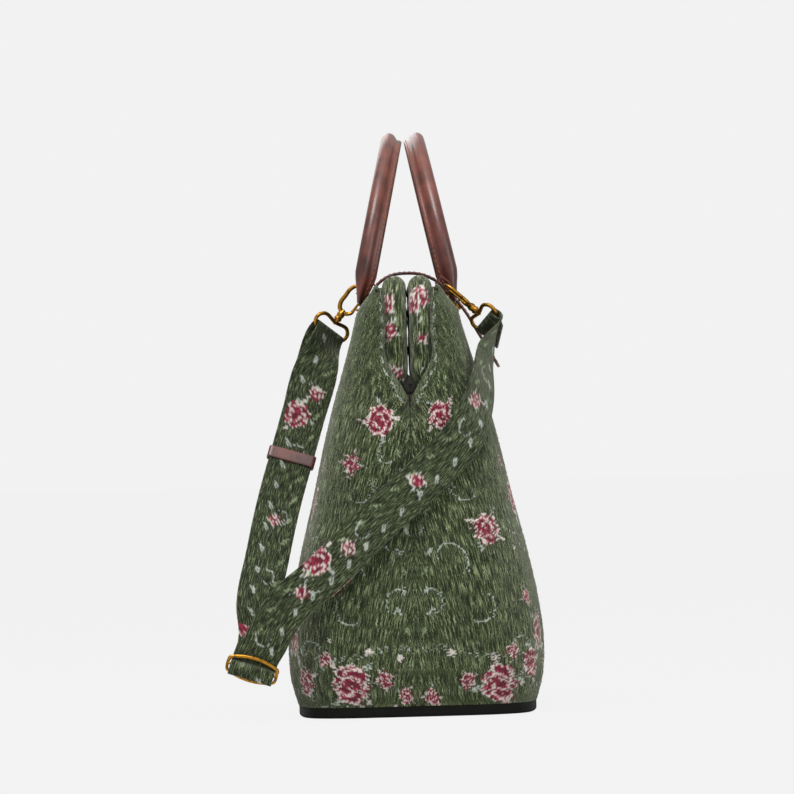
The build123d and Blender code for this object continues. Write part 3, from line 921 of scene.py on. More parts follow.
    def figure(self, weave: Tapestry, side: Side, points: np.ndarray, s: np.ndarray, t: np.ndarray) -> None:
        """Weaves this panel's figures: the end's, then the repeat along its length."""
        total = s.max()
        step = self.sewing.sprays_step
        count = int((total - 2 * 150) / step) + 1
        for k in range(count):
            x = 150 + (total - 300) * k / max(count - 1, 1)
            for z in (88, 205, 318):
                shift = 30 if k % 2 else -18
                weave.spray((x, z + shift), 17.0 + 3 * (k % 2), k * 1.3 + z)
        for z in (60, 150, 240):
            weave.spray((total - 62, z), 13.0, z)
        weave.garland(6, total - 6, 55)
        for edge in (0.0, total):
            sign = 1 if edge == 0 else -1
            for k in range(9):
                z = 268 + k * 11.5
                base = (edge + sign * (15 + 2 * math.sin(k)), z)
                weave.leaf(base, (base[0] + sign * 5.5, z + 9.5), 1.7, Yarn.SILVER)
            weave.scroll((edge + sign * 40, 134.7), 21.0, -0.6, 3.9, 2.2)
            weave.scroll((edge + sign * 24, 96.0), 15.0, 1.9, -4.0, 1.9)
            weave.scroll((edge + sign * 62, 196.0), 16.0, 2.6, 4.0, 1.9)
            weave.scroll((edge + sign * 30, 228.0), 13.0, 0.4, -4.2, 1.8)
            weave.scroll((edge + sign * 72, 96.0), 17.0, -2.2, 4.4, 1.9)
            for k in range(10):
                z = 70 + k * 17.0
                x = edge + sign * (12 + 9 * math.sin(k * 1.9) ** 2)
                weave.leaf((x, z), (x + sign * 7, z + 8), 2.0, Yarn.SILVER if k % 3 else Yarn.SAGE)
        for k, rose in enumerate(END_ROSES):
            if rose.y * side.value <= 0:
                continue
            spot = located(points, rose.y, rose.z)
            weave.rose((s[spot], t[spot]), rose.radius, k * 0.9)
        for mark in END_DIAMONDS:
            if mark.y * side.value > 0:
                spot = located(points, mark.y, mark.z)
                weave.diamond((s[spot], t[spot]), mark.radius)

    def backing(self, side: Side, material: Material) -> Piece:
        """Makes the plain backing inside a panel, down from its hem."""
        grid = self.draped(self.shape.grid(side, self.columns(0.4), np.linspace(11, 370.0, 90)), side)
        grid[..., :2] *= 1 - 2.0 / np.maximum(np.linalg.norm(grid[..., :2], axis=2), 1)[..., None]
        piece = loft(f"{side.word}_panel_backing", grid, round_closed=False)
        finish_with(piece, material)
        self.bend(piece, side)
        return piece


TUBE_ROSES = {
    Side.FRONT: (Figure(-11.1, 366.0, 9.5), Figure(-15.0, 322.0, 4.5)),
    Side.BACK: (Figure(19.5, 334.0, 8.0), Figure(8.5, 293.0, 6.5)),
}
"""Roses on the left legs of the frame tubes."""


@dataclass(frozen=True)
class FrameTubes:
    """Padded chenille tubes round the mouth frame's bars, in millimetres."""

    leg_x: float = 190.0
    bar_y: float = 11.2
    bar_z: float = 369.7
    corner: float = 30.0
    foot_z: float = 284.0
    radius: float = 10.3
    far_padding: float = 1.0
    sides: int = 44

    def route(self, side: Side) -> np.ndarray:
        """Middle line of one tube, from foot to foot."""
        y = side.value * self.bar_y
        top = self.bar_z - self.corner
        angles = np.linspace(0, math.pi / 2, 22)
        left = [(-self.leg_x, y, z) for z in np.linspace(self.foot_z + 6, top, 26, endpoint=False)]
        half = self.leg_x - self.corner
        left += [(-half - self.corner * math.cos(a), y, top + self.corner * math.sin(a)) for a in angles]
        left += [(x, y, self.bar_z) for x in np.linspace(-half, 0, 60)[1:]]
        return np.array(left + [(-x, yy, z) for x, yy, z in reversed(left[:-1])])

    def build(self, side: Side, weave: Material) -> Piece:
        """Makes one tube with gathers in its padding and its woven figures."""
        route = self.route(side)
        run = distances(route)
        radii = self.radius - 0.25 + 0.22 * np.sin(run * 0.21) + 0.12 * np.sin(run * 0.53 + 1)
        close = np.minimum(run, run[-1] - run)
        radii = radii + self.far_padding * np.clip((route[:, 0] - 120) / 25, 0, 1)
        radii = radii * (0.78 + 0.22 * np.clip(close / 9, 0, 1) ** 0.5)
        piece = tube(f"{side.word}_frame_tube", route, radii, self.sides)
        coords = np.empty(len(piece.data.vertices) * 3)
        piece.data.vertices.foreach_get("co", coords)
        rings = (coords.reshape(-1, self.sides, 3)) / MM
        around, along = ring_lengths(rings)
        map_pile(piece, around.ravel(), along.ravel())
        weave_map = Tapestry(around.ravel().copy(), along.ravel().copy())
        points = rings.reshape(-1, 3)
        for k, rose in enumerate(TUBE_ROSES[side]):
            spot = located(points, rose.y, rose.z)
            weave_map.rose((around.ravel()[spot], along.ravel()[spot]), rose.radius, k + 0.4)
        for k in range(13):
            weave_map.rose((8.0 + 30 * (k % 2), 70 + k * 31.0), 8.5, k * 1.7)
        for k in range(34):
            x, y = 14 + 26 * ((k * 7) % 3) / 2, 12 + k * 14.0
            weave_map.leaf((x, y), (x + 3.5, y + 7), 1.3, Yarn.SILVER)
        weave_map.paint(piece)
        finish_with(piece, weave)
        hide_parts(f"{side.word}_frame_sleeve")
        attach(piece, side.frame_body)
        return piece


@dataclass(frozen=True)
class HandleShape:
    """A rolled leather grip on a stitched flange, in millimetres.

    Each row of foot_shape is a height over the foot, and the section's squash across and in depth.
    """

    lean: float = math.radians(12.3)
    foot_y: float = 41.0
    foot_z: float = 358.7
    half_span: float = 120.0
    foot_h: float = 26.0
    roll_r: float = 6.6
    roll_offset: float = 2.4
    flange_reach: float = 9.0
    flange_half: float = 1.6
    stitch_pitch: float = 4.6
    stitch_length: float = 2.9
    stitch_r: float = 0.34
    foot_shape: tuple[tuple[float, float, float], ...] = (
        (-1.5, 1.15, 0.27),
        (4.0, 1.14, 0.40),
        (13.0, 1.08, 0.66),
        (20.0, 1.02, 0.88),
        (26.0, 1.0, 1.0),
    )

    def section(self) -> np.ndarray:
        """Half-round roll with its flange; the second value points to the other handle."""
        angles = np.radians(np.concatenate([np.linspace(52, -90, 15), np.linspace(-90, -232, 15)[1:]]))
        roll = np.column_stack(
            [self.roll_r * np.cos(angles), -self.roll_offset + self.roll_r * np.sin(angles)]
        )
        half, reach = self.flange_half, self.flange_reach
        neck = 4.3
        right = [(half, reach - 0.7), (half + 0.1, (reach + neck) / 2), (half + 0.5, neck)]
        left = [(-x, y) for x, y in reversed(right)]
        tip = [(-half + 0.6, reach), (half - 0.6, reach)]
        return np.vstack([roll, left, tip, right])

    def stations(self, side: Side) -> list[tuple[np.ndarray, np.ndarray, np.ndarray, float, float]]:
        """Centre, outward, inward and the two squash factors at each station, foot to foot."""
        rise = np.array([0, -side.value * math.sin(self.lean), math.cos(self.lean)])
        inward = np.array([0, -side.value * math.cos(self.lean), -math.sin(self.lean)])
        foot = np.array([0, side.value * self.foot_y, self.foot_z])
        x = np.array([1.0, 0, 0])
        keys = np.array(self.foot_shape)
        heights = np.linspace(-1.5, self.foot_h, 16)
        shape = eased(heights, keys[:, 0], keys)
        left = [
            (foot - x * self.half_span + rise * h, -x, inward, wide, deep)
            for h, (_, wide, deep) in zip(heights[:-1], shape[:-1])
        ]
        made = list(left)
        for a in np.linspace(math.pi, 0, 130):
            out = x * math.cos(a) + rise * math.sin(a)
            made.append((foot + rise * self.foot_h + out * self.half_span, out, inward, 1.0, 1.0))
        made += [(c * np.array([-1, 1, 1]), x, i, w, d) for c, _, i, w, d in reversed(left)]
        return made

    def build(self, side: Side, leather: Material, thread: Material) -> list[Piece]:
        """Makes one handle and the stitches along both faces of its flange."""
        section = self.section()
        stations = self.stations(side)
        wide, deep = section.T
        rings = [c + np.outer(wide * w, o) + np.outer(deep * d, i) for c, o, i, w, d in stations]
        grip = loft(f"{side.word}_handle_grip", np.array(rings))
        finish_with(grip, leather)
        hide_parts(f"{side.word}_handle")
        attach(grip, f"{side.word}_handle")
        centres = np.array([c for c, *_ in stations])
        run = distances(centres)
        data = np.array([np.concatenate([c, o, i, [w, d]]) for c, o, i, w, d in stations])
        depth = (self.flange_reach + 5.2) / 2
        stitches = []
        for k in range(int((run[-1] - 16) / self.stitch_pitch)):
            start = 8 + k * self.stitch_pitch
            row = [
                [np.interp(start + share * self.stitch_length, run, data[:, c]) for c in range(11)]
                for share in (0.0, 0.5, 1.0)
            ]
            for face in (-1, 1):
                path = []
                for share, values in zip((0.0, 0.5, 1.0), row):
                    v = np.array(values)
                    lift = self.flange_half * v[9] + (0.28 if share == 0.5 else 0.02)
                    path.append(v[:3] + v[3:6] * face * lift + v[6:9] * depth * v[10])
                stitches.append(np.array(path))
        seam = beads(f"{side.word}_handle_stitching", stitches, self.stitch_r)
        finish_with(seam, thread)
        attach(seam, f"{side.word}_handle")
        return [grip, seam]


def beads(name: str, paths: list[np.ndarray], radius: float) -> Piece:
    """Makes one piece of many short threads, each along its own short path in millimetres."""
    verts, faces = [], []
    sides = 6
    for path in paths:
        tangent = path[-1] - path[0]
        tangent = tangent / np.linalg.norm(tangent)
        u = np.cross(tangent, (0.31, 0.86, 0.41))
        u /= np.linalg.norm(u)
        v = np.cross(tangent, u)
        base = len(verts)
        widths = [0.55] + [1.0] * (len(path) - 2) + [0.55]
        for p, w in zip(path, widths):
            for k in range(sides):
                a = 2 * math.pi * k / sides
                verts.append(tuple((p + radius * w * (u * math.cos(a) + v * math.sin(a))) * MM))
        for i in range(len(path) - 1):
            for k in range(sides):
                n = (k + 1) % sides
                a, b = base + i * sides, base + (i + 1) * sides
                faces.append((a + k, a + n, b + n, b + k))
        faces.append(tuple(base + k for k in reversed(range(sides))))
        faces.append(tuple(base + (len(path) - 1) * sides + k for k in range(sides)))
    mesh = bpy.data.meshes.new(name)
    mesh.from_pydata(verts, [], faces)
    mesh.shade_smooth()
    piece = bpy.data.objects.new(name, mesh)
    bpy.context.collection.objects.link(piece)
    return piece


def ribbon_rings(stations: np.ndarray, width: float, thickness: float, columns: int) -> np.ndarray:
    """Rings of a flat band with rounded edges.

    Args:
        stations: rows of centre and across vector, in millimetres.
        width: full width; the across vector's length scales it.
        thickness: full thickness.
        columns: points over each face.

    Returns:
        Points shaped (stations, ring, 3), the face that looks along the normal first.
    """
    centre, across = stations[:, :3], stations[:, 3:6]
    tangent = np.gradient(centre, axis=0)
    normal = np.cross(tangent, across)
    normal /= np.maximum(np.linalg.norm(normal, axis=1), 1e-9)[:, None]
    half, t = width / 2, thickness / 2
    face = np.linspace(-1, 1, columns)
    edge = np.radians((60, 20, -20, -60))
    outline = [(a * (half - t), t) for a in face]
    outline += [(half - t + t * math.cos(e), t * math.sin(e)) for e in edge]
    outline += [(a * (half - t), -t) for a in face[::-1]]
    outline += [(-(half - t) - t * math.cos(e), -t * math.sin(e)) for e in edge]
    return np.array([[c + a * x + n * y for x, y in outline] for c, a, n in zip(centre, across, normal)])


@dataclass(frozen=True)
class HookPlace:
    """One swivel hook: where its leather loop is, its lift and the ways it faces, in millimetres."""

    side: Side
    loop: Vector
    up: Vector
    reach: float
    bar: Vector
    claw_side: Vector

    @property
    def eye(self) -> Vector:
        """Centre of the wire eye's upper bar."""
        return self.loop - self.up * self.reach


BACK_UP = unit(0, -0.62, 0.785)
FRONT_UP = unit(0, 0.75, 0.66)
BACK_CLAW_SIDE = unit(0, 0.785, 0.62)
HOOK_PLACES = (
    HookPlace(
        Side.FRONT,
        Vector((-146.0, -37.2, 367.75)),
        FRONT_UP,
        33.0,
        (Vector((0, -0.66, 0.75)) * 0.5 - Vector((0.866, 0, 0))).normalized(),
        (unit(0, -0.66, 0.75) * 0.17 - Vector((0.985, 0, 0))).normalized(),
    ),
    HookPlace(
        Side.BACK,
        Vector((-100.0, 42.8, 367.6)),
        BACK_UP,
        33.0,
        (BACK_CLAW_SIDE - Vector((1, 0, 0))).normalized(),
        BACK_CLAW_SIDE,
    ),
)
"""The hook at the front and the hook at the back."""


@dataclass(frozen=True)
class HookSizes:
    """Sizes of the swivel hooks in millimetres; the claw's points are (across, up) from the eye."""

    wire_r: float = 1.7
    eye_drop: float = 10.6
    eye_corner: float = 2.8
    strap_w: float = 38.0
    strap_play: float = 0.7
    ring_r: float = 7.8
    hole_r: float = 5.6
    gate_top: float = 28.8
    pin_up: float = 16.2
    shank_r: float = 1.75
    shank_top: float = 8.4
    claw_path: tuple[Pair, ...] = (
        (0.4, 10.6),
        (4.2, 12.6),
        (6.5, 16.9),
        (6.7, 24.0),
        (6.5, 31.5),
        (4.6, 35.8),
        (0.0, 37.6),
        (-4.6, 35.8),
        (-6.5, 32.0),
        (-6.7, 29.6),
    )
    collar_heights: tuple[float, ...] = (2.4, 3.0, 4.4, 5.4, 6.2, 7.6, 9.0, 10.4, 11.6)
    collar_radii: tuple[float, ...] = (2.6, 3.4, 3.6, 3.1, 3.0, 3.5, 3.4, 2.9, 2.0)

    STANDS_FOR = {"eye_wire": "eye", "claw_finger": "claw", "gate_bar": "gate"}
    """Hook pieces that stand for a CAD node, and that node's name after the hook's."""

    def flat(self, place: HookPlace, v: float, u: float) -> np.ndarray:
        """Point of the claw's own plane: v across the claw and u up from the eye."""
        return np.array(place.eye + place.claw_side * v + place.up * u)

    def eye_route(self, place: HookPlace) -> np.ndarray:
        """Route of the eye's wire, with its four rounded corners."""
        eye, bar, up = (np.array(v) for v in (place.eye, place.bar, place.up))
        half = self.strap_w / 2 + self.strap_play + self.wire_r
        r, drop = self.eye_corner, self.eye_drop
        corners = ((0, 0), (half - r, 0), (half, r), (half, drop - r), (half - r, drop), (0, drop))
        wire = [eye + bar * x - up * z for x, z in corners]
        mirrored = [eye - bar * x - up * z for x, z in reversed(corners[1:-1])]
        return evenly(np.array(wire + mirrored + [eye]), 1.5)[:-1]

    def build(self, place: HookPlace, brass: Material) -> None:
        """Makes one hook's eye, swivel collar, claw and gate."""
        word = place.side.word
        eye, up = np.array(place.eye), np.array(place.up)
        square = place.claw_side.cross(place.up)
        centre = (self.ring_r + self.hole_r) / 2
        thick = self.ring_r - self.hole_r

        def plane(path: Sequence[Pair]) -> np.ndarray:
            """Returns points of the claw's plane as points of the bag."""
            return np.array([self.flat(place, v, u) for v, u in path])

        def make(part: str, body: str, route: np.ndarray, radii: Sequence[float], sides: int, **more) -> None:
            """Makes one brass bar that rides on its body."""
            piece = tube(f"{word}_hook_{part}", route, np.array(radii), sides, **more)
            finish_with(piece, brass)
            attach(piece, f"{word}_{body}")
            if part in self.STANDS_FOR:
                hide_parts(f"{word}_hook_{self.STANDS_FOR[part]}")

        wire = self.eye_route(place)
        make("eye_wire", "frame", wire, np.full(len(wire), self.wire_r), 14, closed=True)
        shank = evenly(np.array([eye - up * 0.4, eye + up * self.shank_top]), 1.2)
        make("shank", "frame", shank, np.full(len(shank), self.shank_r), 14, facing=place.bar)
        claw = evenly(plane(self.claw_path), 0.9)
        share = np.linspace(0, 1, len(claw))
        radii = thick * (0.92 - 0.34 * share + 0.10 * np.sin(share * math.pi))
        make("claw_finger", "claw", claw, radii, 18, flat=0.86, facing=square)
        cheek = evenly(plane([(-1.0, 10.4), (-4.6, 12.4), (-centre, 15.2), (-centre, 17.2)]), 0.9)
        make("claw_cheek", "claw", cheek, np.linspace(1.9, 1.45, len(cheek)), 18, flat=1.15, facing=square)
        collar = plane([(0, u) for u in self.collar_heights])
        make("collar", "claw", collar, self.collar_radii, 24, facing=place.claw_side)
        gate = plane([(-centre, u) for u in np.linspace(self.pin_up, self.gate_top, 14)])
        make("gate_bar", "gate", gate, np.linspace(1.25, 0.95, 14), 14, flat=0.8, facing=square)
        stub = plane([(-centre - 0.8, 19.4), (-centre - 3.0, 20.4)])
        make("thumb_stub", "gate", stub, (0.9, 1.25), 14, facing=place.up)


@dataclass(frozen=True)
class StrapRoute:
    """Route of the shoulder strap between its brass fittings, in millimetres."""

    width: float = 38.0
    thickness: float = 1.8
    wire_gap: float = 0.5
    slide_r: float = 1.3
    slide_front_r: float = 1.7
    slide_pitch: float = 6.0
    slide_at: Vector = Vector((-246.0, 139.5, 50.4))
    slide_bar: Vector = unit(0, 0.949, 0.315)
    slide_down: Vector = unit(0, 0.315, -0.949)
    facing: Vector = Vector((0.901, 0.124, -0.417))
    left_across: Vector = Vector((0, 0.958, 0.285))
    left_line: tuple[tuple[float, float, float], ...] = (
        (-115.0, 80.5, 302.0),
        (-133.0, 92.8, 261.5),
        (-152.0, 104.0, 224.7),
        (-171.0, 114.7, 189.0),
        (-199.0, 126.5, 140.0),
        (-226.0, 135.5, 96.0),
    )
    across_end: tuple[tuple[tuple[float, float, float], tuple[float, float, float]], ...] = (
        ((-245.0, 131.0, 64.5), (0, 0.90, 0.42)),
        ((-247.0, 114.8, 92.0), (0, 0.79, 0.61)),
        ((-246.0, 73.2, 128.3), (0, 0.67, 0.74)),
        ((-243.0, 29.2, 170.5), (0, 0.70, 0.71)),
        ((-236.0, -14.7, 208.4), (-0.08, 0.69, 0.72)),
        ((-229.0, -45.5, 240.0), (-0.27, 0.72, 0.64)),
        ((-209.0, -61.0, 273.0), (-0.577, 0.52, 0.635)),
        ((-181.0, -66.5, 306.0), (-0.659, 0.31, 0.679)),
    )

    def wrap(self, centre: Vector, first: Vector, second: Vector, radius: float, across: Vector) -> list:
        """Stations of a half turn round a bar."""
        turns = [math.radians(degrees) for degrees in range(0, 181, 30)]
        return [(centre + (first * math.cos(a) + second * math.sin(a)) * radius, across) for a in turns]

    def smooth(self, keys: list, steps: int) -> np.ndarray:
        """Runs a smooth line of stations through the keys."""
        rows = np.array([[*centre, *across] for centre, across in keys])
        gaps = np.maximum(np.linalg.norm(np.diff(rows[:, :3], axis=0), axis=1), 0.01)
        knots = np.concatenate([[0], np.cumsum(gaps)])
        spans = [np.linspace(a, b, max(int((b - a) / 1.9), steps) + 1) for a, b in zip(knots, knots[1:])]
        return eased(np.unique(np.concatenate(spans)), knots, rows)

    def upper(self) -> np.ndarray:
        """Stations from the slider up, round the back hook's eye and down to the slider's middle bar."""
        layer = self.thickness / 2 + 0.25
        t, pitch = self.thickness, self.slide_pitch
        x = Vector((1, 0, 0))
        across = self.slide_bar * 1.025
        middle = self.slide_at + self.slide_down * pitch
        fold = self.slide_at + self.slide_down * (2 * pitch)
        place = HOOK_PLACES[1]
        low = place.eye - place.up * HookSizes.eye_drop
        front_in = place.bar.cross(place.up).normalized()
        keys = [
            (middle + x * (self.slide_r + 0.2 + t / 2) - self.slide_down * 0.5, across),
            (self.slide_at + x * (self.slide_front_r + 0.6 + 1.5 * t), across),
            (self.slide_at + x * 6.5 - self.slide_down * 14, self.left_across),
        ]
        line = [Vector(p) for p in self.left_line]
        keys += [(p + self.facing * layer, self.left_across) for p in reversed(line)]
        keys += self.wrap(low, front_in, place.up, HookSizes.wire_r + self.wire_gap + t / 2, place.bar)
        keys += [(p - self.facing * layer, self.left_across) for p in line]
        keys += [
            (self.slide_at + x * 8.9 - self.slide_down * 16, self.left_across),
            (self.slide_at + x * (self.slide_front_r + 1.0 + 2.5 * t), across),
            (middle + x * 4.6, across),
        ]
        keys += self.wrap(fold, x, self.slide_down, self.slide_r + 0.2 + t / 2, across)
        crossing = ((0.0, -2.4), (1.2, -2.2), (2.3, -1.2), (3.0, 0.2), (3.7, 1.5), (4.8, 2.6), (6.0, 2.8))
        keys += [(middle - self.slide_down * h + x * d, across) for h, d in crossing]
        return self.smooth(keys, 2)

    def lower(self) -> np.ndarray:
        """Stations from the slider across the bag's end and round the front hook's eye."""
        t = self.thickness
        x = Vector((1, 0, 0))
        across = self.slide_bar * 1.025
        middle = self.slide_at + self.slide_down * self.slide_pitch
        place = HOOK_PLACES[0]
        low = place.eye - place.up * HookSizes.eye_drop
        out = place.bar.cross(place.up).normalized() * -1
        radius = HookSizes.wire_r + self.wire_gap + t / 2
        keys = [(middle - self.slide_down * h + x * d, across) for h, d in ((4.8, 2.6), (6.0, 2.8))]
        keys += [(Vector(c), Vector(a)) for c, a in self.across_end]
        keys += self.wrap(low, out, place.up, radius, place.bar)
        last = Vector(self.across_end[-1][1])
        keys += [
            (low - out * (radius - 0.4) - place.up * 6, place.bar),
            (low - out * 1.6 - place.up * 14 + Vector((-6, 0, -4)), (place.bar * 2 + last).normalized()),
        ]
        return self.smooth(keys, 2)


@dataclass(frozen=True)
class StrapRose:
    """A rose on the shoulder strap, placed in the view of the bag's left end, in millimetres."""

    y: float
    z: float
    radius: float
    lower: bool


STRAP_ROSES = (
    StrapRose(81.6, 138.8, 14.0, True),
    StrapRose(56.0, 150.0, 7.0, True),
    StrapRose(97.0, 113.0, 6.5, True),
    StrapRose(-8.0, 203.0, 7.0, True),
    StrapRose(-60.0, 272.0, 8.0, True),
    StrapRose(96.2, 265.0, 13.5, False),
    StrapRose(80.0, 283.0, 7.0, False),
    StrapRose(146.0, 84.0, 9.0, False),
    StrapRose(120.0, 175.0, 6.0, False),
)
"""Roses woven into the shoulder strap."""


class ShoulderStrap:
    """The chenille shoulder strap, its brass slide and its leather keeper."""

    pile_scale = 1.5
    """How much finer the strap's pile is than the panels'."""

    def __init__(self, route: StrapRoute, weave: Material) -> None:
        self.route = route
        self.weave = weave

    def length(self, stations: np.ndarray) -> float:
        """Length of a run of stations in millimetres."""
        return float(np.linalg.norm(np.diff(stations[:, :3], axis=0), axis=1).sum())

    def run(self, name: str, stations: np.ndarray, lower: bool) -> Piece:
        """Makes one run of the strap with its woven figures and raised edges."""
        rings = ribbon_rings(stations, self.route.width, self.route.thickness, 25)
        rng = np.random.default_rng(SEED + int(lower))
        middle = rings.mean(axis=1, keepdims=True)
        rings = rings + (rings - middle) * rng.normal(0, 0.004, rings.shape[:2])[..., None]
        piece = loft(name, rings)
        around, along = ring_lengths(rings)
        across = around.ravel() % (self.route.width + 3)
        map_pile(piece, (self.pile_scale * around).ravel(), (self.pile_scale * along).ravel())
        weave = Tapestry(across.copy(), along.ravel().copy())
        points = rings.reshape(-1, 3)
        total = along.max()
        for k in range(int(total / 21)):
            y = 12 + k * 21.0
            weave.leaf((7.0, y), (13.0, y + 9), 2.0, Yarn.SILVER)
            weave.leaf((31.0, y + 10), (25.0, y + 19), 2.0, Yarn.SAGE)
            if k % 3 == 0:
                weave.scroll((19.0, y + 12), 9.0, k * 1.1, 4.0 * (1 if k % 2 else -1), 2.2)
        for rose in STRAP_ROSES:
            if rose.lower == lower:
                spot = located(points, rose.y, rose.z)
                weave.rose((across[spot], along.ravel()[spot]), rose.radius, rose.z)
        weave.paint(piece)
        finish_with(piece, self.weave)
        return piece

    def build(self) -> None:
        """Makes both runs and bakes each one's transform into its mesh."""
        upper, lower = self.route.upper(), self.route.lower()
        back = self.run("shoulder_strap_back_run", upper, False)
        front = self.run("shoulder_strap_front_run", lower, True)
        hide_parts("shoulder_strap")
        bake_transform(back)
        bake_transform(front)

    def slide(self, brass: Material) -> None:
        """Makes the brass slide: a rounded wire frame with a middle bar."""
        r = self.route
        at, bar, down = (np.array(v) for v in (r.slide_at, r.slide_bar, r.slide_down))
        half = r.width / 2 + 2.2
        low = 2 * r.slide_pitch
        corners = []
        for sx, dz in ((-1, 0), (1, 0), (1, low), (-1, low)):
            inset = 1.4
            corner = at + bar * sx * half + down * dz
            toward_y = down * (inset if dz == 0 else -inset)
            toward_x = -bar * sx * inset
            ends = [corner + toward_x, corner + toward_y]
            middle = corner + (toward_x + toward_y) * 0.3
            order = [ends[0], middle, ends[1]] if (sx > 0) == (dz == 0) else [ends[1], middle, ends[0]]
            corners += order
        route = evenly(np.array(corners + [corners[0]]), 1.2)[:-1]
        depth = (route - at) @ down
        radii = np.where(depth < r.slide_pitch * 0.5, r.slide_front_r, r.slide_r)
        piece = tube("strap_slide_frame", route, radii, 16, closed=True, facing=Vector((1, 0, 0)))
        ends = [at - bar * half + down * r.slide_pitch, at + bar * half + down * r.slide_pitch]
        line = evenly(np.array(ends), 2.0)
        radii = np.full(len(line), r.slide_r)
        middle = tube("strap_slide_middle_bar", line, radii, 16, facing=Vector((1, 0, 0)))
        for made in (piece, middle):
            finish_with(made, brass)
            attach(made, "bag")
        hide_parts("strap_slider")

    def keeper(self, leather: Material, thread: Material) -> None:
        """Makes the leather keeper round both layers, with a stitched join on its face."""
        r = self.route
        line = [Vector(p) for p in r.left_line]
        at, up = line[2], (line[1] - line[3]).normalized()
        across = r.left_across.normalized()
        out = up.cross(across).normalized()
        layer = r.thickness / 2 + 0.25
        half_w, half_t = r.width / 2 + 1.2, 2 * layer + 1.0
        corner = 1.6
        path = []
        for sx, sy, start in ((1, 1, 0), (-1, 1, 90), (-1, -1, 180), (1, -1, 270)):
            for k in range(5):
                a = math.radians(start + 90 * k / 4)
                x = sx * (half_w - corner) + corner * math.cos(a)
                y = sy * (half_t - corner) + corner * math.sin(a)
                path.append(np.array(at + across * x + out * y))
        path = np.array(path + [path[0]])
        counts = [max(int(np.linalg.norm(b - a) / 1.5), 1) for a, b in zip(path, path[1:])]
        sides = zip(path, path[1:], counts)
        fine = np.concatenate([np.linspace(a, b, n, endpoint=False) for a, b, n in sides])
        stations = np.hstack([fine, np.repeat(np.array(up)[None, :], len(fine), axis=0)])
        rings = ribbon_rings(stations, 11.0, 1.6, 9)
        piece = loft("strap_keeper_band", rings, run_closed=True)
        finish_with(piece, leather)
        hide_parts("strap_keeper")
        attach(piece, "strap_keeper")
        stitches = []
        for row in (-1, 1):
            for k in range(11):
                base = at + across * (-17.5 + k * 3.5) + up * (row * 4.1) - out * (half_t + 0.85)
                stitches.append(np.array([base, base + across * 1.1, base + across * 2.2]))
        seam = beads("strap_keeper_stitching", stitches, 0.28)
        finish_with(seam, thread)
        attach(seam, "strap_keeper")


@dataclass(frozen=True)
class ClosureStrap:
    """The leather strap over the mouth, from the back shoulder to its free tip, in millimetres."""

    width: float = 28.0
    thickness: float = 2.4
    path: tuple[Pair, ...] = (
        (30.8, 366.8),
        (25.5, 375.0),
        (14.0, 382.4),
        (0.0, 384.2),
        (-14.0, 382.6),
        (-26.0, 377.0),
        (-38.0, 366.0),
        (-50.0, 351.0),
        (-63.0, 329.0),
        (-80.0, 299.0),
    )
    tip: float = 14.0

    def build(self, leather: Material, thread: Material) -> None:
        """Makes the strap with a rounded tip and a stitched edge."""
        line = evenly(np.array([(0.0, y, z) for y, z in self.path]), 1.6)
        run = distances(line)
        left = np.clip((run[-1] - run) / self.tip, 0, 1)
        width = np.sqrt(np.clip(1 - (1 - left) ** 2, 0.02, 1))
        across = np.column_stack([width, np.zeros((len(width), 2))])
        stations = np.hstack([line, across])
        piece = loft("closure_strap_leather", ribbon_rings(stations, self.width, self.thickness, 13))
        finish_with(piece, leather)
        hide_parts("closure_strap")
        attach(piece, "closure_strap")
        tangent = np.gradient(line, axis=0)
        normal = np.cross(tangent, (1.0, 0, 0))
        normal /= np.linalg.norm(normal, axis=1)[:, None]
        up = normal * np.sign(normal[len(normal) // 3, 2])
        stitches = []
        for start in np.arange(4, run[-1] - 5, 4.4):
            for edge in (-1, 1):
                path = []
                for share in (0, 0.5, 1):
                    at = start + share * 2.8
                    spot = [np.interp(at, run, column) for column in (*line.T, *up.T, width)]
                    x = edge * (self.width / 2 * spot[6] - 2.6)
                    lift = self.thickness / 2 + (0.12 if share == 0.5 else -0.1)
                    path.append(np.array([x, *spot[1:3]]) + np.array(spot[3:6]) * lift)
                stitches.append(np.array(path))
        seam = beads("closure_strap_stitching", stitches, 0.34)
        finish_with(seam, thread)
        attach(seam, "closure_strap")


@dataclass(frozen=True)
class LiningTub:
    """The cotton lining that hangs inside the panels, in millimetres."""

    inset: float = 3.9
    top: float = 224.0
    floor: float = 8.2
    end_rise: float = 56.0
    end_reach: float = 62.0

    def build(self, shape: BodyShape, cloth: Material) -> None:
        """Makes the lining as one open tub with its floor."""
        heights = np.linspace(12.0, self.top, 60)
        columns = np.linspace(0, 14, 70)
        halves = [shape.grid(side, columns, heights) for side in (Side.FRONT, Side.BACK)]
        ring = np.concatenate([halves[0], halves[1][:, ::-1]], axis=1)
        end = np.clip((np.abs(ring[..., 0]) - 165) / 25, 0, 1)
        near_top = np.clip((ring[..., 2] - 130) / (self.top - 130), 0, 1)
        middle = np.clip(1 - np.abs(ring[..., 1]) / self.end_reach, 0, 1)
        rise = self.end_rise * end * end * near_top * middle
        ring[..., 0] -= np.sign(ring[..., 0]) * (self.inset + 3.0 * end + 0.32 * rise)
        inward = np.minimum(np.abs(ring[..., 1]) * 0.8, self.inset + 0.3 * rise)
        ring[..., 1] -= np.sign(ring[..., 1]) * inward
        ring[..., 2] += rise
        floor = [ring[0] * np.array([s, s, 0]) + np.array([0, 0, self.floor]) for s in (0.05, 0.5, 0.9, 0.97)]
        piece = loft("lining_tub", np.concatenate([np.array(floor), ring]))
        finish_with(piece, cloth)
        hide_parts("lining")
        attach(piece, "bag")


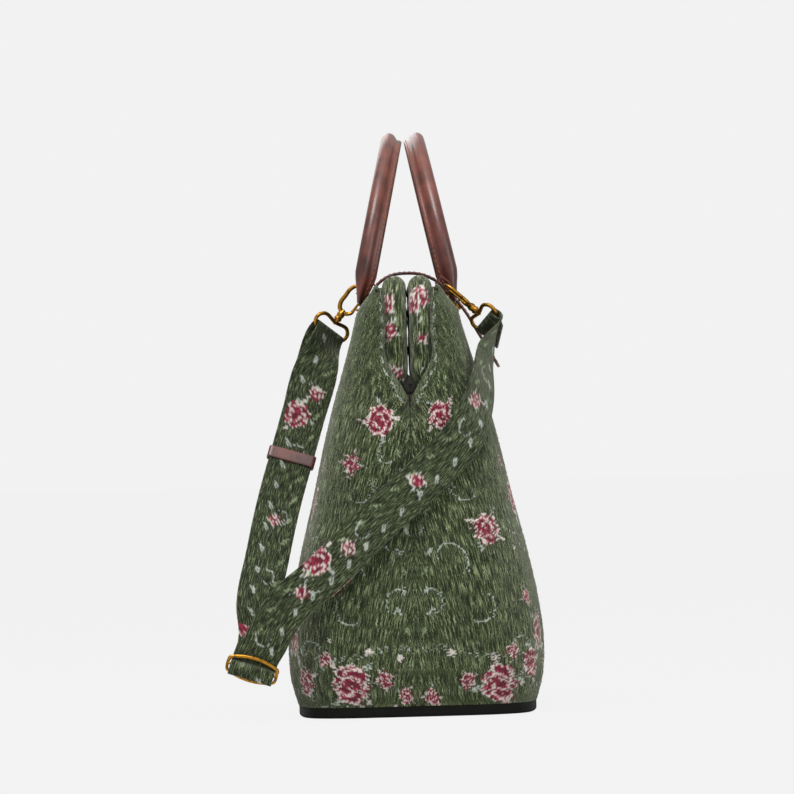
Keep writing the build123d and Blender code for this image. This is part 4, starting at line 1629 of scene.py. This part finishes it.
class Fittings:
    """CAD nodes that show as they are, each with its own finish."""

    FINISHES = {
        "base_leather": ("base_panel",),
        "board": ("base_board",),
        "frame_steel": ("front_frame_bar", "back_frame_bar", "left_hinge_rivet", "right_hinge_rivet"),
        "brown_leather": ("front_hook_loops", "back_hook_loops"),
        "antique_brass": ("front_hook_pin", "back_hook_pin", "snap_stud", "snap_socket"),
    }

    def dress(self, finishes: dict[str, Material]) -> None:
        """Puts each finish on its nodes."""
        for slot, nodes in self.FINISHES.items():
            for node in nodes:
                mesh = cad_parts[node].data
                mesh.materials.clear()
                mesh.materials.append(finishes[slot])


@dataclass(frozen=True)
class Studio:
    """Floor, lamps and camera of the photograph, in metres and watts."""

    floor_colour: str = "dcdcdc"
    backdrop_colour: str = "f2f2f2"
    floor_plain: float = 0.98
    distance: float = 7.5
    subject_x: float = -0.20
    centre_y: float = 0.0110
    centre_z: float = 0.2750
    floor_size: float = 40.0
    sky: float = 0.60

    LAMPS = (
        ("key_lamp", (-1.7, 0.5, 3.1), 1.4, 92),
        ("fill_lamp", (-1.9, -1.8, 1.0), 1.6, 20),
        ("top_lamp", (-0.3, 0.0, 2.3), 2.4, 15),
        ("rear_lamp", (1.9, 0.6, 1.3), 1.2, 9),
    )
    """Name, place, width and power of each lamp."""

    def floor(self) -> None:
        """Lays a pale floor that shows plain to the camera and keeps the bag's shadow."""
        n = 25
        line = np.linspace(-self.floor_size, self.floor_size, n) / MM / 2
        x, y = np.meshgrid(line, line, indexing="ij")
        z = np.full_like(x, -0.3)
        piece = loft("studio_floor", np.stack([x, y, z], axis=2), round_closed=False)
        material, shader = blank_material("floor_painted_matte")
        feed(material, shader, {"Base Color": linear(self.floor_colour), "Roughness": 0.8})
        ray = add_node(material, "LightPath").outputs["Is Camera Ray"]
        seen = add_node(material, "Math", {0: ray, 1: self.floor_plain}, operation="MULTIPLY")
        plain = add_node(material, "Emission", {"Color": linear(self.backdrop_colour), "Strength": 1.0})
        mix = add_node(material, "MixShader", {0: seen.outputs[0], 1: shader.outputs[0], 2: plain.outputs[0]})
        output = next(node for node in material.node_tree.nodes if node.type == "OUTPUT_MATERIAL")
        feed(material, output, {"Surface": mix.outputs[0]})
        piece.data.materials.append(material)

    def world(self) -> None:
        """Lights the room evenly, and shows plain pale grey behind the bag."""
        world = bpy.data.worlds.new("studio")
        world.use_nodes = True
        world.node_tree.nodes.clear()
        path = add_node(world, "LightPath").outputs
        rays = {0: path["Is Camera Ray"], 1: path["Is Transmission Ray"]}
        either = add_node(world, "Math", rays, operation="MAXIMUM")
        lit = add_node(world, "Background", {0: linear("ffffff"), 1: self.sky})
        seen = add_node(world, "Background", {0: linear(self.backdrop_colour)})
        mix = add_node(world, "MixShader", {0: either.outputs[0], 1: lit.outputs[0], 2: seen.outputs[0]})
        add_node(world, "OutputWorld", {0: mix.outputs[0]})
        bpy.context.scene.world = world

    def lamp(self, name: str, place: tuple[float, float, float], size: float, power: float) -> None:
        """Hangs one square soft lamp that faces the bag."""
        data = bpy.data.lights.new(name, "AREA")
        data.size = size
        data.energy = power
        lamp = bpy.data.objects.new(name, data)
        lamp.location = place
        lamp.rotation_euler = (Vector((0, 0, 0.2)) - Vector(place)).to_track_quat("-Z", "Y").to_euler()
        bpy.context.collection.objects.link(lamp)

    def camera(self) -> None:
        """Stands the camera at the bag's left end, with the photograph's slight roll."""
        data = bpy.data.cameras.new("camera")
        data.lens = SENSOR_MM * self.distance / (PHOTO_PIXELS * MM_PER_PIXEL * MM)
        data.sensor_width = SENSOR_MM
        data.clip_end = 100
        camera = bpy.data.objects.new("camera", data)
        camera.location = (self.subject_x - self.distance, self.centre_y, self.centre_z)
        level = Vector((1, 0, 0)).to_track_quat("-Z", "Y")
        camera.rotation_mode = "QUATERNION"
        camera.rotation_quaternion = level @ Quaternion((0, 0, 1), -PHOTO_ROLL)
        bpy.context.collection.objects.link(camera)
        bpy.context.scene.camera = camera

    def build(self) -> None:
        """Sets up the floor, the light and the camera."""
        self.floor()
        self.world()
        for name, place, size, power in self.LAMPS:
            self.lamp(name, place, size, power)
        self.camera()
        bpy.context.scene.view_settings.view_transform = "Standard"


def main() -> None:
    """Builds the bag's looks around its frame."""
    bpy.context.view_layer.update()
    weave = CHENILLE.build()
    leather = BROWN_LEATHER.build()
    brass = ANTIQUE_BRASS.build()
    lining = LINING_CLOTH.build()
    thread = STITCH_THREAD.build()
    shape = BodyShape()
    panels = Panels(shape, PanelSewing(), weave)
    tubes = FrameTubes()
    handles = HandleShape()
    for side in Side:
        panels.build(side)
        panels.backing(side, lining)
        tubes.build(side, weave)
        handles.build(side, leather, thread)
    for place in HOOK_PLACES:
        HookSizes().build(place, brass)
    # The strap's darker chenille is painted shade.
    strap = ShoulderStrap(StrapRoute(), SHADED_STRAP_CHENILLE.build())
    strap.slide(brass)
    strap.build()
    strap.keeper(leather, thread)
    ClosureStrap().build(leather, thread)
    LiningTub().build(shape, lining)
    Fittings().dress(
        {
            "base_leather": BASE_LEATHER.build(),
            "board": FIBRE_BOARD.build(),
            "frame_steel": FRAME_STEEL.build(),
            "brown_leather": leather,
            "antique_brass": brass,
        }
    )
    Studio().build()


if __name__ == "__main__":
    main()
